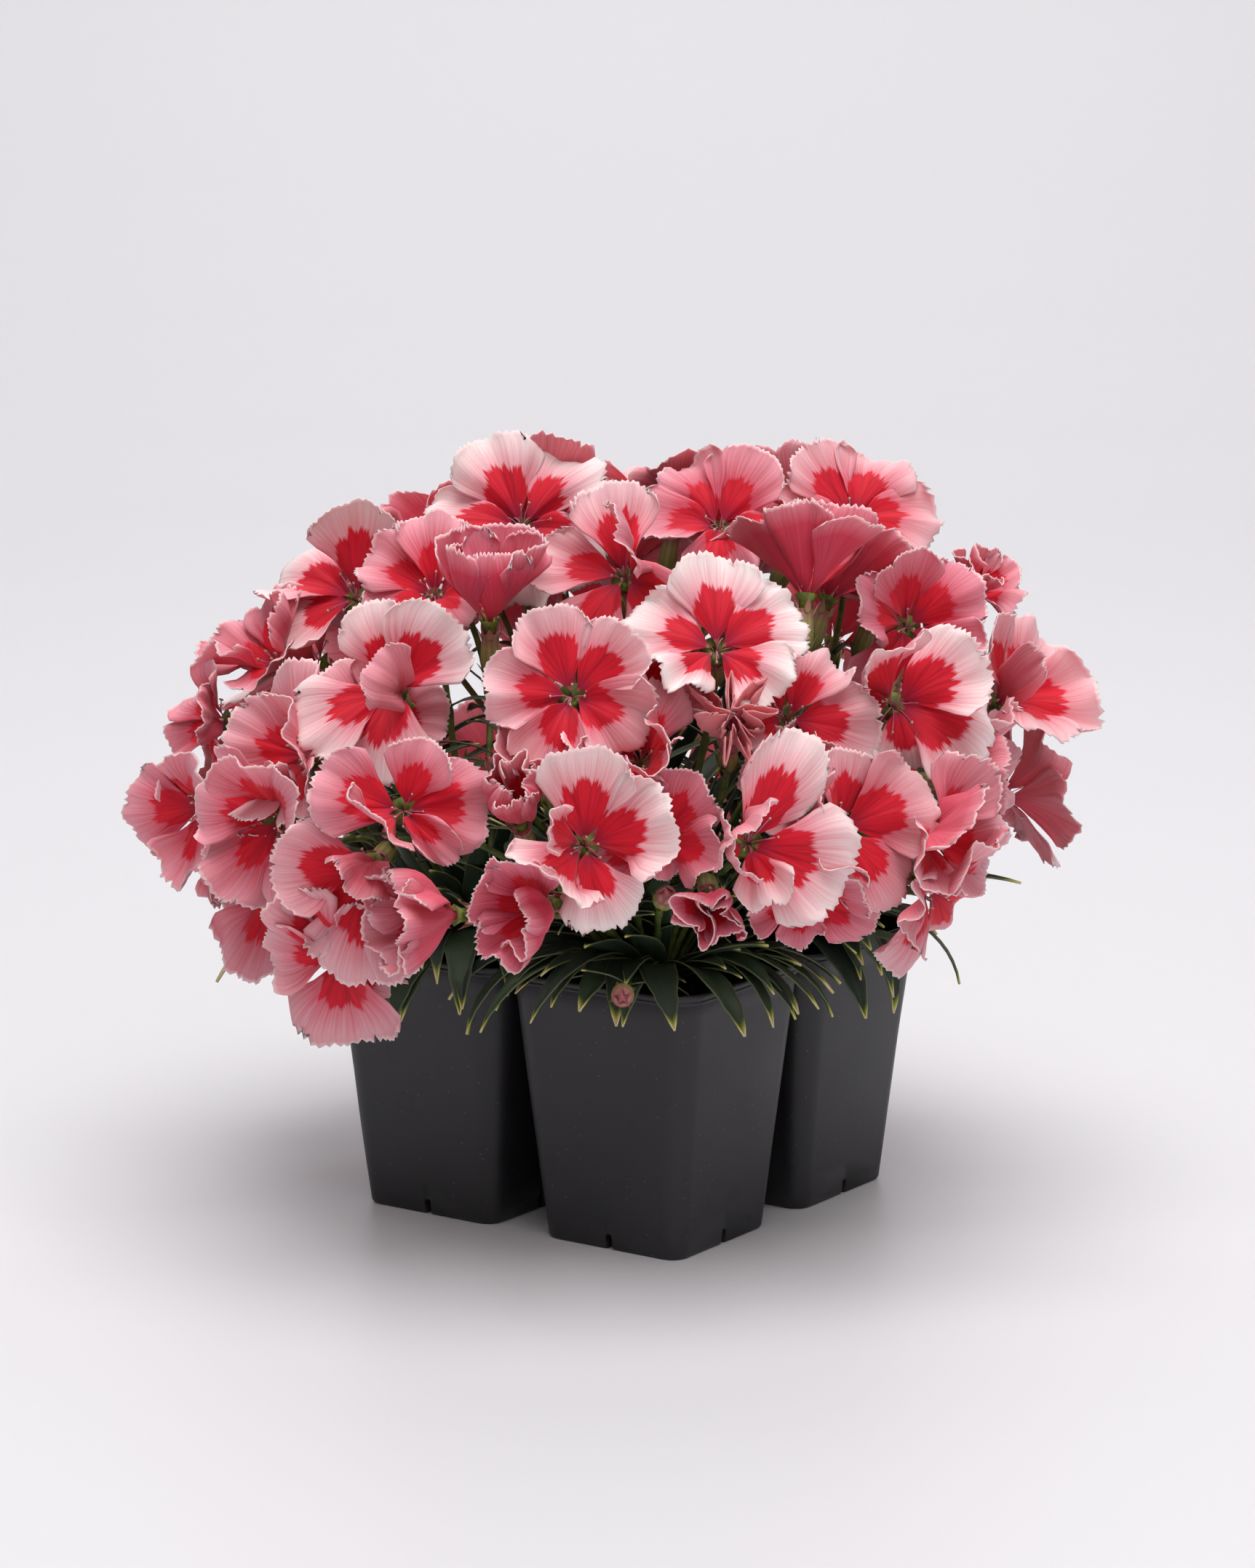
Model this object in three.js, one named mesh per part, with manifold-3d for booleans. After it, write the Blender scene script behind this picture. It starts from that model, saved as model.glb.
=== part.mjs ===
// A dianthus in flower, with its four-cell bedding pack.
// Millimetres, +Z up. The pack stands on z = 0, and the origin lies under the middle of the whole plant.
import * as THREE from 'three';
import { mergeVertices } from 'three/addons/utils/BufferGeometryUtils.js';
import Module from 'manifold-3d';

const wasm = await Module();
wasm.setup();
const { Manifold } = wasm;

// Driving dimensions.

// The gap that neighbouring pieces keep.
const clearance = 0.3;

// Vertices nearer than this are one, and details below these sizes are smoothed off, if they can be.
const grain = 0.001;
const slivers = [0.05, 0.02, 0.005];

// Two pieces that share less than this volume don't cross.
const touching = 0.002;

const pack = {
  pitch: 62.3,
  height: 76,
  topHalf: 30.85,
  footHalf: 22.6,
  topCorner: 9.5,
  footCorner: 5,
  wall: 0.9,
  floor: 1,
  rimBand: 3,
  rimProud: 0.5,
  webRadius: 5,
  slotWidth: 2.2,
  slotHeight: 4.4,
  slotDepth: 4,
};

const soil = { edgeHeight: 66, mound: 4, lumps: 1.2, inwardRings: [0.3, 0.6] };

// Round pieces that hardly show have this many sides.
const roundSides = 8;

const crown = { radius: 7, topRadius: 5.6, base: 58, top: 73, hole: 8, fan: 5, leafDepth: 2 };

const dome = { heart: 95 };

const petal = {
  count: 5,
  valleyTurn: 36,
  valleyAlong: 0.45,
  sideTurn: 35,
  sideAlong: 0.74,
  edgeTurn: 33,
  edgeSteps: 6,
  toothDepth: 0.07,
  cornerFall: 0.1,
  midAlong: 0.6,
  rise: 0.35,
  depth: 0.75,
  arch: 50,
  hubDepth: 4.5,
};

const settle = {
  lengths: [1, 0.88, 0.76],
  sinks: [0, 3, 6, 9, 12, 16],
  sinkPerStrain: 6,
  liftStep: 12,
  liftTries: 5,
  lowest: -40,
  highest: 84,
  pressed: 100,
};

const calyx = { length: 13, radius: 2.9, mouth: 2.3 };

const bud = { length: 11, radius: 3.2, tip: 0.8 };

const stem = {
  radius: 1.2,
  sides: 3,
  segments: 4,
  sunk: 5,
  lean: 0.2,
  climb: 0.25,
  approach: 0.35,
  sways: [0, 8, 16, -8, 24],
  slips: [0, 9, -9, 18, -18],
};

const leaf = {
  thickness: 1.1,
  channel: 0.9,
  taper: 0.6,
  rimStations: [0.24, 0.56, 0.84],
  rimTurns: [0, 2, -2, 4, -4, 7, -7],
  fanStations: [0.3, 0.74],
  pairStations: [0.48],
  fanTurns: [0, 17, -17, 34, -34],
};

// Leaves round each crown: every second one stands among the stems, and the others lean out over
// the rim. Each size is its least value and how much is left to chance.
const fan = { leaves: 7, turn: 137.5, sway: 20, width: [7, 2] };
const upright = { rise: [66, 14], droop: [30, 40], length: [40, 16] };
const leaning = { rise: [48, 14], droop: [85, 50], length: [48, 14] };

// Pairs of leaves on every ninth stem, at one joint of its path.
const pair = { joint: 2, every: 9, width: 6.5, sway: 20, rise: [45, 20], fall: [-10, 30], length: [32, 12] };

const look = {
  pack: { color: '#2b292b', roughness: 0.45 },
  soil: { color: '#2a211c', roughness: 0.95 },
  greens: { color: '#3a4a30', roughness: 0.7 },
  bloom: { color: '#e58ba0', roughness: 0.6 },
};

// Small helpers.

const degrees = Math.PI / 180;

// A seeded random number from 0 to 1.
function makeDice(seed) {
  let state = seed;
  return () => {
    state = (state * 16807) % 2147483647;
    return state / 2147483647;
  };
}

function roll([least, chance], dice) {
  return least + chance * dice();
}

function direction(bearing, rise) {
  const flat = Math.cos(rise * degrees);
  return new THREE.Vector3(
    flat * Math.cos(bearing * degrees),
    flat * Math.sin(bearing * degrees),
    Math.sin(rise * degrees),
  );
}

function solidFromTriangles(points, triangles) {
  const vertProperties = new Float32Array(points.flatMap((p) => [p.x, p.y, p.z]));
  const mesh = new wasm.Mesh({ numProp: 3, vertProperties, triVerts: new Uint32Array(triangles.flat()) });
  return new Manifold(mesh);
}

function mergedByPlace(source) {
  const geometry = source.clone();
  geometry.deleteAttribute('normal');
  geometry.deleteAttribute('uv');
  return mergeVertices(geometry, grain);
}

function solidFromGeometry(source) {
  const merged = mergedByPlace(source);
  const vertProperties = new Float32Array(merged.attributes.position.array);
  const triVerts = new Uint32Array(merged.index.array);
  return new Manifold(new wasm.Mesh({ numProp: 3, vertProperties, triVerts }));
}

function geometryFromSolid(solid) {
  const mesh = solid.getMesh();
  const positions = [];
  for (let i = 0; i < mesh.vertProperties.length; i += mesh.numProp) {
    positions.push(mesh.vertProperties[i], mesh.vertProperties[i + 1], mesh.vertProperties[i + 2]);
  }
  const geometry = new THREE.BufferGeometry();
  geometry.setAttribute('position', new THREE.Float32BufferAttribute(positions, 3));
  geometry.setIndex(Array.from(mesh.triVerts));
  geometry.computeVertexNormals();
  return geometry;
}

function largestPiece(solid) {
  return solid.decompose().reduce((best, piece) => (piece.volume() > best.volume() ? piece : best));
}

// Tells whether each edge of a solid lies between two faces only.
function edgesPairUp(solid) {
  const { array } = mergedByPlace(geometryFromSolid(solid)).index;
  const uses = new Map();
  for (let i = 0; i < array.length; i += 3) {
    for (let k = 0; k < 3; k++) {
      const ends = [array[i + k], array[i + ((k + 1) % 3)]].sort((a, b) => a - b);
      const key = ends.join(' ');
      uses.set(key, (uses.get(key) ?? 0) + 1);
    }
  }
  return [...uses.values()].every((count) => count === 2);
}

// Fusing leaves slivers, sealed hollows and loose scraps: this keeps the one sound body.
function soundBody(solid) {
  const trials = slivers.map((sliver) => {
    return largestPiece(solidFromGeometry(geometryFromSolid(solid.setTolerance(sliver))));
  });
  return trials.find(edgesPairUp) ?? trials[0];
}

// A solid with its box, so that far pairs are passed over quickly.
function boxed(solid, owner) {
  const box = solid.boundingBox();
  return { solid, owner, min: box.min, max: box.max };
}

function boxesMeet(a, b) {
  return [0, 1, 2].every((i) => a.min[i] < b.max[i] && b.min[i] < a.max[i]);
}

function clash(a, others) {
  return others.some((b) => boxesMeet(a, b) && a.solid.intersect(b.solid).volume() > touching);
}

const plant = new THREE.Group();

function addPiece(name, solid, { color, roughness }) {
  const material = new THREE.MeshStandardMaterial({ color, roughness, metalness: 0 });
  const mesh = new THREE.Mesh(geometryFromSolid(solid), material);
  mesh.name = name;
  plant.add(mesh);
}

// Skins stacked rings of points, closed by a fan at each end, or back on the first ring.
function loft(rings, closedLoop = false) {
  const points = rings.flat();
  const size = rings[0].length;
  const triangles = [];
  const last = closedLoop ? rings.length : rings.length - 1;
  for (let ring = 0; ring < last; ring++) {
    const low = ring * size;
    const high = ((ring + 1) % rings.length) * size;
    for (let i = 0; i < size; i++) {
      const next = (i + 1) % size;
      triangles.push([low + i, low + next, high + next], [low + i, high + next, high + i]);
    }
  }
  if (!closedLoop) {
    const top = (rings.length - 1) * size;
    for (let i = 1; i < size - 1; i++) {
      triangles.push([0, i + 1, i], [top, top + i, top + i + 1]);
    }
  }
  return solidFromTriangles(points, triangles);
}

// The pack: four tapered cells joined along their rims, with drain slots at the feet.

const cornerSteps = 2;

function roundedSquare(half, corner, height, middle) {
  const ring = [];
  for (let side = 0; side < 4; side++) {
    const turn = side * 90;
    const centre = new THREE.Vector3(half - corner, half - corner, 0).applyAxisAngle(
      new THREE.Vector3(0, 0, 1),
      turn * degrees,
    );
    for (let step = 0; step <= cornerSteps; step++) {
      const angle = (turn + (90 * step) / cornerSteps) * degrees;
      ring.push(
        new THREE.Vector3(
          middle.x + centre.x + corner * Math.cos(angle),
          middle.y + centre.y + corner * Math.sin(angle),
          height,
        ),
      );
    }
  }
  return ring;
}

function cellHalf(height) {
  return THREE.MathUtils.lerp(pack.footHalf, pack.topHalf, height / pack.height);
}

function cellCorner(height) {
  return THREE.MathUtils.lerp(pack.footCorner, pack.topCorner, height / pack.height);
}

function cellRing(height, inset, middle) {
  return roundedSquare(cellHalf(height) - inset, cellCorner(height) - inset * 0.6, height, middle);
}

const cells = [
  { name: 'front', middle: new THREE.Vector3(pack.pitch / 2, -pack.pitch / 2, 0) },
  { name: 'left', middle: new THREE.Vector3(-pack.pitch / 2, -pack.pitch / 2, 0) },
  { name: 'right', middle: new THREE.Vector3(pack.pitch / 2, pack.pitch / 2, 0) },
  { name: 'back', middle: new THREE.Vector3(-pack.pitch / 2, pack.pitch / 2, 0) },
];

function cellShell(middle) {
  const bandFoot = pack.height - pack.rimBand;
  const outer = loft([
    cellRing(0, 0, middle),
    cellRing(bandFoot, 0, middle),
    cellRing(bandFoot, -pack.rimProud, middle),
    cellRing(pack.height, -pack.rimProud, middle),
  ]);
  const inner = loft([
    cellRing(pack.floor, pack.wall, middle),
    cellRing(pack.height + 1, pack.wall, middle),
  ]);
  return outer.subtract(inner);
}

function drainSlots(middle) {
  const slots = [];
  for (let side = 0; side < 4; side++) {
    const away = direction(side * 90, 0).multiplyScalar(pack.footHalf);
    const size = new THREE.Vector3(pack.slotWidth, pack.slotDepth, pack.slotHeight * 2);
    const box = new THREE.BoxGeometry(size.x, size.y, size.z);
    box.rotateZ((side * 90 - 90) * degrees);
    box.translate(middle.x + away.x, middle.y + away.y, 0);
    slots.push(solidFromGeometry(box));
  }
  return Manifold.union(slots);
}

function buildPack() {
  const web = new THREE.CylinderGeometry(pack.webRadius, pack.webRadius, pack.floor, roundSides);
  web.rotateX(90 * degrees);
  web.translate(0, 0, pack.height - pack.floor);
  const shells = cells.map((cell) => cellShell(cell.middle));
  const slots = cells.map((cell) => drainSlots(cell.middle));
  return Manifold.union([...shells, solidFromGeometry(web)]).subtract(Manifold.union(slots));
}

const packSolid = buildPack();
addPiece('cell_pack', packSolid, look.pack);

// Soil: one plug in each cell, mounded, with a plain hole for the crown of the plant.

function crownHole(middle) {
  const depth = pack.height - crown.base;
  const hole = new THREE.CylinderGeometry(crown.hole, crown.hole, depth, roundSides);
  hole.rotateX(90 * degrees);
  hole.translate(middle.x, middle.y, crown.base - clearance + depth / 2);
  return solidFromGeometry(hole);
}

function buildSoil(middle, seed) {
  const dice = makeDice(seed);
  const gap = pack.wall + clearance;
  const rings = [
    cellRing(pack.floor + clearance, gap, middle),
    cellRing(soil.edgeHeight, gap, middle),
  ];
  for (const inward of soil.inwardRings) {
    const ring = cellRing(soil.edgeHeight, gap, middle).map((point) => {
      const raised = point.clone().lerp(new THREE.Vector3(middle.x, middle.y, soil.edgeHeight), inward);
      raised.z += soil.mound * inward + soil.lumps * dice();
      return raised;
    });
    rings.push(ring);
  }
  return loft(rings).subtract(crownHole(middle));
}

const soils = cells.map((cell, index) => buildSoil(cell.middle, 11 + index));
cells.forEach((cell, index) => addPiece(`soil_${cell.name}`, soils[index], look.soil));

// Blooms. Each row: its truss, the bearing, rise and reach of its throat from the dome's heart, the
// bearing and rise that it faces, petal length, the turn of its first petal, and how far each petal
// lifts. The outermost blooms come first, and the later ones settle round them. Blooms of one truss
// may press into each other, and 0 stands for a bloom that grows alone.

const blooms = [
  [0, -38, 43, 108, -55, 38, 25, 18, [0, 12, 5, -5, -15]],
  [0, -39, 14, 115, -56, 14, 28, 60, [5, 45, 25, 0, 0]],
  [0, -99, 34, 109, -62, 24, 29, 45, [30, 25, -5, -15, 84]],
  [0, -88, 17, 114, -60, 14, 26, 7, [0, 15, 20, 72, 10]],
  [7, -61, 14, 114, -58, 16, 27, 15, [25, 30, 66, 50, -45]],
  [0, -22, 15, 114, -42, 16, 26, 18, [5, 15, 55, 50, 0]],
  [0, -6, 31, 110, -45, 35, 28, 40, [25, 72, -20, -15, -10]],
  [0, 36, 24, 116, -18, 40, 26, 47, [15, 45, 72, 35, 20]],
  [1, -93, 9, 112, -68, -6, 30, 56, [20, 20, 0, 0, 10]],
  [0, -153, 44, 108, -66, 42, 27, 15, [20, 35, 0, -10, -20]],
  [0, -175, 70, 101, -60, 52, 27, 47, [25, 30, 5, -10, -15]],
  [0, -65, 36, 107, -60, 30, 23, 39, [20, 25, 15, 0, 10]],
  [6, -23, 34, 108, -50, 28, 24, 56, [10, 25, 15, 0, -5]],
  [0, -56, 61, 102, -70, 40, 25, 30, [75, 20, 0, -5, -10]],
  [0, 27, 16, 113, 5, 6, 26, 20, [0, 30, 45, 15, -5]],
  [0, -142, 9, 120, -112, -4, 27, 50, [30, 25, 0, -5, 20]],
  [2, -112, 13, 114, -86, 10, 26, 20, [55, 60, 20, 10, 20]],
  [0, 21, 42, 107, -45, 26, 23, 29, [25, 48, 55, -15, 15]],
  [8, 40, 75, 100, -55, 62, 23, 55, [35, 35, 10, -10, 0]],
  [0, 48, 56, 117, -48, 62, 24, 56, [30, 35, 10, 0, 5]],
  [0, -53, 27, 109, -55, 40, 22, 8, [62, 30, 25, 40, 50]],
  [0, -50, 16, 110, -55, 10, 20, 54, [20, 25, 10, 25, 35]],
  [1, -98, -3, 112, -68, -28, 28, 54, [10, 15, 10, 5, 5]],
  [0, -122, 3, 113, -112, -22, 25, 40, [20, 15, 10, 10, 15]],
  [0, -79, 4, 114, -120, 5, 23, 0, [52, 52, 52, 52, 52]],
  [0, -66, 6, 114, -92, 0, 20, 20, [58, 56, 54, 56, 58]],
  [3, -43, 6, 110, -54, -8, 18, 30, [42, 45, 42, 40, 45]],
  [0, -70, 28, 108, -56, 52, 25, 40, [50, 50, 50, 52, 50]],
  [0, -55, 40, 103, -25, 45, 24, 30, [35, 30, 48, 50, 40]],
  [0, -89, 50, 104, -60, 76, 25, 0, [56, 54, 52, 54, 56]],
  [0, -114, 31, 109, -72, 25, 24, 5, [10, 20, 40, 55, 45]],
  [0, -5, 53, 105, 115, 66, 26, 10, [45, 45, 45, 45, 45]],
  [0, 21, 54, 104, 85, 58, 26, 40, [45, 45, 45, 45, 45]],
  [4, -9, 12, 112, -12, 5, 25, 52, [10, 20, 40, 20, 5]],
  [4, -8, 5, 110, -4, -30, 24, 30, [10, 20, 15, 10, 10]],
  [0, -145, 20, 122, -126, 20, 24, 10, [30, 30, 25, 20, 20]],
  [0, -147, 30, 119, -118, 42, 23, 50, [35, 35, 25, 20, 25]],
  [2, -112, 22, 110, -106, 16, 25, 30, [25, 20, 20, 35, 30]],
  [3, -27, 6, 109, -42, -20, 24, 54, [30, 30, 20, 10, 15]],
  [0, -38, 30, 104, -55, 38, 19, 0, [66, 74, 60, 70, 62]],
  [7, -72, 18, 104, -65, 42, 20, 0, [62, 60, 62, 64, 60]],
  [6, -22, 24, 102, -40, 25, 24, 20, [25, 30, 30, 25, 20]],
  [5, 39, 38, 124, -10, 52, 22, 0, [45, 50, 55, 55, 45]],
  [5, 42, 46, 118, -20, 62, 22, 30, [40, 40, 40, 45, 40]],
  [0, 8, 35, 108, 5, 45, 15, 0, [80, 82, 80, 82, 80]],
  [8, 58, 68, 101, -50, 60, 22, 60, [35, 40, 40, 30, 35]],
  [0, -120, 54, 100, -60, 52, 22, 20, [35, 35, 30, 20, 25]],
];

// The far side of the dome is filled by rings of blooms: rise, reach, first bearing, step, how many.
const farRings = [
  [5, 113, 52, 22, 8],
  [27, 114, 60, 25, 6],
  [49, 109, 74, 27, 5],
  [69, 102, 105, 55, 2],
];

// What a far bloom is like. Its truss is that of its sector, and 'Spread' is how far a value strays.
const far = {
  firstTruss: 100,
  edgeSteps: 4,
  firstBearing: 45,
  sector: 80,
  placeSpread: 4,
  facingSpread: 14,
  facingRiseSpread: 12,
  length: 30,
  lengthSpread: 2,
  lift: 12,
  liftSpread: 12,
  petalSpread: 16,
};

function farTruss(bearing) {
  return far.firstTruss + Math.floor((bearing - far.firstBearing) / far.sector);
}

function farBlooms() {
  const dice = makeDice(7);
  const stray = (amount) => Math.round((dice() - 0.5) * 2 * amount);
  const rows = [];
  for (const [ringRise, reach, first, step, count] of farRings) {
    for (let i = 0; i < count; i++) {
      const bearing = first + i * step + stray(far.placeSpread);
      const rise = ringRise + stray(far.placeSpread);
      const length = far.length + stray(far.lengthSpread);
      const turn = stray(petal.valleyTurn);
      const open = far.lift + stray(far.liftSpread);
      const lifts = Array.from({ length: petal.count }, () => open + stray(far.petalSpread));
      const facing = bearing + stray(far.facingSpread);
      const facingRise = rise + stray(far.facingRiseSpread);
      rows.push([farTruss(bearing), bearing, rise, reach, facing, facingRise, length, turn, lifts]);
    }
  }
  return rows;
}

// Finds a bloom's own axes: it faces along 'out', and its petals turn from 'across' to 'up'.
function bloomFrame(row, share, sink) {
  const [truss, bearing, rise, reach, facing, facingRise, fullLength, spin, lifts] = row;
  const length = fullLength * share;
  const out = direction(facing, facingRise);
  const across = direction(facing + 90, 0);
  const up = out.clone().cross(across);
  const inward = direction(bearing, rise).multiplyScalar(reach - sink);
  const throat = inward.add(new THREE.Vector3(0, 0, dome.heart));
  const { edgeSteps } = truss < far.firstTruss ? petal : far;
  return { throat, out, across, up, length, spin, edgeSteps, lifts: [...lifts] };
}

const nearlyStraight = 1e-6;

// A blade's midline is an arc. It gives the way out from its root, the height over it and the
// slope there, in radians, a share 'along' of its length.
function arc(length, firstSlope, lastSlope, along) {
  const start = firstSlope * degrees;
  const bend = start - lastSlope * degrees;
  const slope = start - bend * along;
  if (Math.abs(bend) < nearlyStraight) {
    return { away: length * along * Math.cos(start), height: length * along * Math.sin(start), slope };
  }
  const away = (length * (Math.sin(start) - Math.sin(slope))) / bend;
  const height = (length * (Math.cos(slope) - Math.cos(start))) / bend;
  return { away, height, slope };
}

function petalPoint(bloom, turn, along, lift, proud = 0) {
  const halfArch = (petal.arch - lift) / 2;
  const line = arc(bloom.length, lift + halfArch, lift - halfArch, along);
  const away = line.away - proud * Math.sin(line.slope);
  const height = line.height + proud * Math.cos(line.slope);
  return bloom.throat
    .clone()
    .addScaledVector(bloom.across, away * Math.cos(turn * degrees))
    .addScaledVector(bloom.up, away * Math.sin(turn * degrees))
    .addScaledVector(bloom.out, height);
}

// The toothed edge of a petal: rounded towards its corners, every second point drawn in.
function edgeAlong(step, steps) {
  const side = (2 * step) / steps - 1;
  const tooth = step % 2 === 0 ? petal.toothDepth : 0;
  return 1 - petal.cornerFall * side * side - tooth;
}

// The rim of one petal, from valley to valley. The valleys are shared with its neighbours.
function petalRim(bloom, index) {
  const middle = bloom.spin + (index * 360) / petal.count;
  const lift = bloom.lifts[index];
  const before = bloom.lifts[(index + petal.count - 1) % petal.count];
  const after = bloom.lifts[(index + 1) % petal.count];
  const rim = [
    petalPoint(bloom, middle - petal.valleyTurn, petal.valleyAlong, (lift + before) / 2),
    petalPoint(bloom, middle - petal.sideTurn, petal.sideAlong, lift),
  ];
  for (let step = 0; step <= bloom.edgeSteps; step++) {
    const turn = middle + petal.edgeTurn * ((2 * step) / bloom.edgeSteps - 1);
    rim.push(petalPoint(bloom, turn, edgeAlong(step, bloom.edgeSteps), lift));
  }
  rim.push(petalPoint(bloom, middle + petal.sideTurn, petal.sideAlong, lift));
  rim.push(petalPoint(bloom, middle + petal.valleyTurn, petal.valleyAlong, (lift + after) / 2));
  return rim;
}

function petalCrests(bloom, index, extra = 0) {
  const middle = bloom.spin + (index * 360) / petal.count;
  const lift = bloom.lifts[index];
  return [
    petalPoint(bloom, middle, petal.midAlong, lift, petal.rise + extra),
    petalPoint(bloom, middle, petal.midAlong, lift, -petal.depth - extra),
  ];
}

// One petal alone, a little fatter than life, to try whether it clears its neighbours.
function petalTrial(bloom, index) {
  const foot = bloom.throat.clone().addScaledVector(bloom.out, -petal.hubDepth);
  const rim = petalRim(bloom, index);
  const points = [...rim, bloom.throat, foot, ...petalCrests(bloom, index, clearance)];
  const [throat, root, top, bottom] = [0, 1, 2, 3].map((i) => rim.length + i);
  const triangles = [
    [0, throat, root],
    [rim.length - 1, root, throat],
    [throat, 0, top],
    [rim.length - 1, throat, top],
    [0, root, bottom],
    [root, rim.length - 1, bottom],
  ];
  for (let i = 0; i < rim.length - 1; i++) {
    triangles.push([i, i + 1, top], [i + 1, i, bottom]);
  }
  return solidFromTriangles(points, triangles);
}

// A whole bloom in one skin: five petals that share their valleys, a throat and a pointed root.
function bloomSolid(bloom) {
  const points = [bloom.throat, bloom.throat.clone().addScaledVector(bloom.out, -petal.hubDepth)];
  const triangles = [];
  const rimSize = petalRim(bloom, 0).length - 1;
  const ringSize = rimSize * petal.count;
  for (let index = 0; index < petal.count; index++) {
    points.push(...petalRim(bloom, index).slice(0, rimSize));
  }
  for (let index = 0; index < petal.count; index++) {
    const top = points.length;
    points.push(...petalCrests(bloom, index));
    const first = index * rimSize;
    const corner = (step) => 2 + ((first + step) % ringSize);
    triangles.push([0, corner(0), top], [corner(0), 1, top + 1]);
    triangles.push([corner(rimSize), 0, top], [1, corner(rimSize), top + 1]);
    for (let step = 0; step < rimSize; step++) {
      triangles.push([corner(step), corner(step + 1), top], [corner(step + 1), corner(step), top + 1]);
    }
  }
  return solidFromTriangles(points, triangles);
}

// No stem runs along this line, so it can set which way the first ring is turned.
const firstSide = new THREE.Vector3(1, 0.3, 0.2);

// Sweeps a polygon along points, with one radius for each of them. Each ring takes over the turn of
// the one before, so that the skin doesn't twist.
function tube(path, radii, sides) {
  const helper = firstSide.clone();
  const rings = path.map((point, i) => {
    const before = path[Math.max(i - 1, 0)];
    const after = path[Math.min(i + 1, path.length - 1)];
    const along = after.clone().sub(before).normalize();
    const side = helper.clone().addScaledVector(along, -helper.dot(along)).normalize();
    const other = along.clone().cross(side);
    helper.copy(side);
    return Array.from({ length: sides }, (_, k) => {
      const angle = (k * 2 * Math.PI) / sides;
      return point
        .clone()
        .addScaledVector(side, radii[i] * Math.cos(angle))
        .addScaledVector(other, radii[i] * Math.sin(angle));
    });
  });
  return loft(rings);
}

const roomSides = 6;

// A tube with room round it, so that what it is cut from keeps the clearance.
function wideTube(path, radii) {
  const wide = radii.map((radius) => (radius + clearance) / Math.cos(Math.PI / roomSides));
  return tube(path, wide, roomSides);
}

function calyxMouth(bloom) {
  return bloom.throat.clone().addScaledVector(bloom.out, -petal.hubDepth - clearance);
}

// The room that the green neck behind a bloom takes.
function neckTrial(bloom) {
  const mouth = calyxMouth(bloom);
  const foot = mouth.clone().addScaledVector(bloom.out, -calyx.length);
  return wideTube([foot, mouth], [calyx.radius, calyx.radius]);
}

// Tries each lift in turn, nearest to the wanted one first, until the petal clears its neighbours.
function easePetal(bloom, index, placed) {
  const wanted = bloom.lifts[index];
  const tries = [wanted];
  for (let i = 1; i <= settle.liftTries; i++) {
    tries.push(wanted + i * settle.liftStep, wanted - i * settle.liftStep);
  }
  for (const lift of tries) {
    if (lift !== wanted && (lift > settle.highest || lift < settle.lowest)) {
      continue;
    }
    bloom.lifts[index] = lift;
    if (!clash(boxed(petalTrial(bloom, index)), placed)) {
      return Math.abs(lift - wanted) / settle.liftStep;
    }
  }
  bloom.lifts[index] = wanted;
  return settle.pressed;
}

// Settles a bloom as near to its place as it finds room, with shorter petals if nothing else helps.
function settleBloom(row, placed) {
  let best = { strain: Infinity };
  for (const share of settle.lengths) {
    for (const sink of settle.sinks) {
      const bloom = bloomFrame(row, share, sink);
      let strain = sink / settle.sinkPerStrain;
      if (clash(boxed(neckTrial(bloom)), placed)) {
        strain += settle.pressed;
      }
      for (let index = 0; index < petal.count; index++) {
        strain += easePetal(bloom, index, placed);
      }
      if (strain < best.strain) {
        best = { bloom, strain };
      }
    }
    if (best.strain < settle.pressed) {
      return best.bloom;
    }
  }
  return best.bloom;
}

const rows = [...blooms, ...farBlooms()];
const placed = [];
const settled = rows.map((row, owner) => {
  const others = placed.filter((other) => row[0] === 0 || rows[other.owner][0] !== row[0]);
  const bloom = settleBloom(row, others);
  for (let index = 0; index < petal.count; index++) {
    placed.push(boxed(petalTrial(bloom, index), owner));
  }
  placed.push(boxed(neckTrial(bloom), owner));
  return bloom;
});

// Blooms that still press into each other hold together as one body.
const group = settled.map((_, index) => index);

function headOf(index) {
  return group[index] === index ? index : headOf(group[index]);
}

const bloomSolids = settled.map((bloom) => bloomSolid(bloom));
const bloomBoxes = bloomSolids.map((solid, owner) => boxed(solid, owner));
for (let a = 0; a < bloomBoxes.length; a++) {
  for (let b = a + 1; b < bloomBoxes.length; b++) {
    if (headOf(a) !== headOf(b) && clash(bloomBoxes[a], [bloomBoxes[b]])) {
      group[headOf(b)] = headOf(a);
    }
  }
}

// Greens: each plant's crown, stems, calyxes, buds and leaves grow together in one body.

// The green head of a stem, from its foot to its end, as shares of its length and radii.
const calyxProfile = [
  [0, stem.radius],
  [0.35, calyx.radius],
  [1, calyx.mouth],
];

const budProfile = [
  [0, stem.radius],
  [0.3, bud.radius],
  [0.7, bud.radius],
  [1, bud.tip],
];

function crownSolid(middle) {
  const depth = crown.top - crown.base;
  const body = new THREE.CylinderGeometry(crown.topRadius, crown.radius, depth, roundSides);
  body.rotateX(90 * degrees);
  body.translate(middle.x, middle.y, (crown.top + crown.base) / 2);
  return solidFromGeometry(body);
}

const greens = cells.map(({ middle }) => ({ body: crownSolid(middle), rooms: [] }));

// Fuses a part into a plant, and leaves it off where it would only pinch an edge together.
function fuse(cellIndex, part, rooms) {
  const green = greens[cellIndex];
  const joined = largestPiece(green.body.add(part));
  if (!edgesPairUp(joined)) {
    return false;
  }
  green.body = joined;
  green.rooms.push(...rooms);
  return true;
}

const standing = [packSolid, ...soils].map((solid) => boxed(solid));

function nearestCell(point) {
  const gaps = cells.map(({ middle }) => Math.hypot(middle.x - point.x, middle.y - point.y));
  return gaps.indexOf(Math.min(...gaps));
}

function roomsOfOthers(cellIndex) {
  return greens.flatMap(({ rooms }, index) => (index === cellIndex ? [] : rooms));
}

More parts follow.
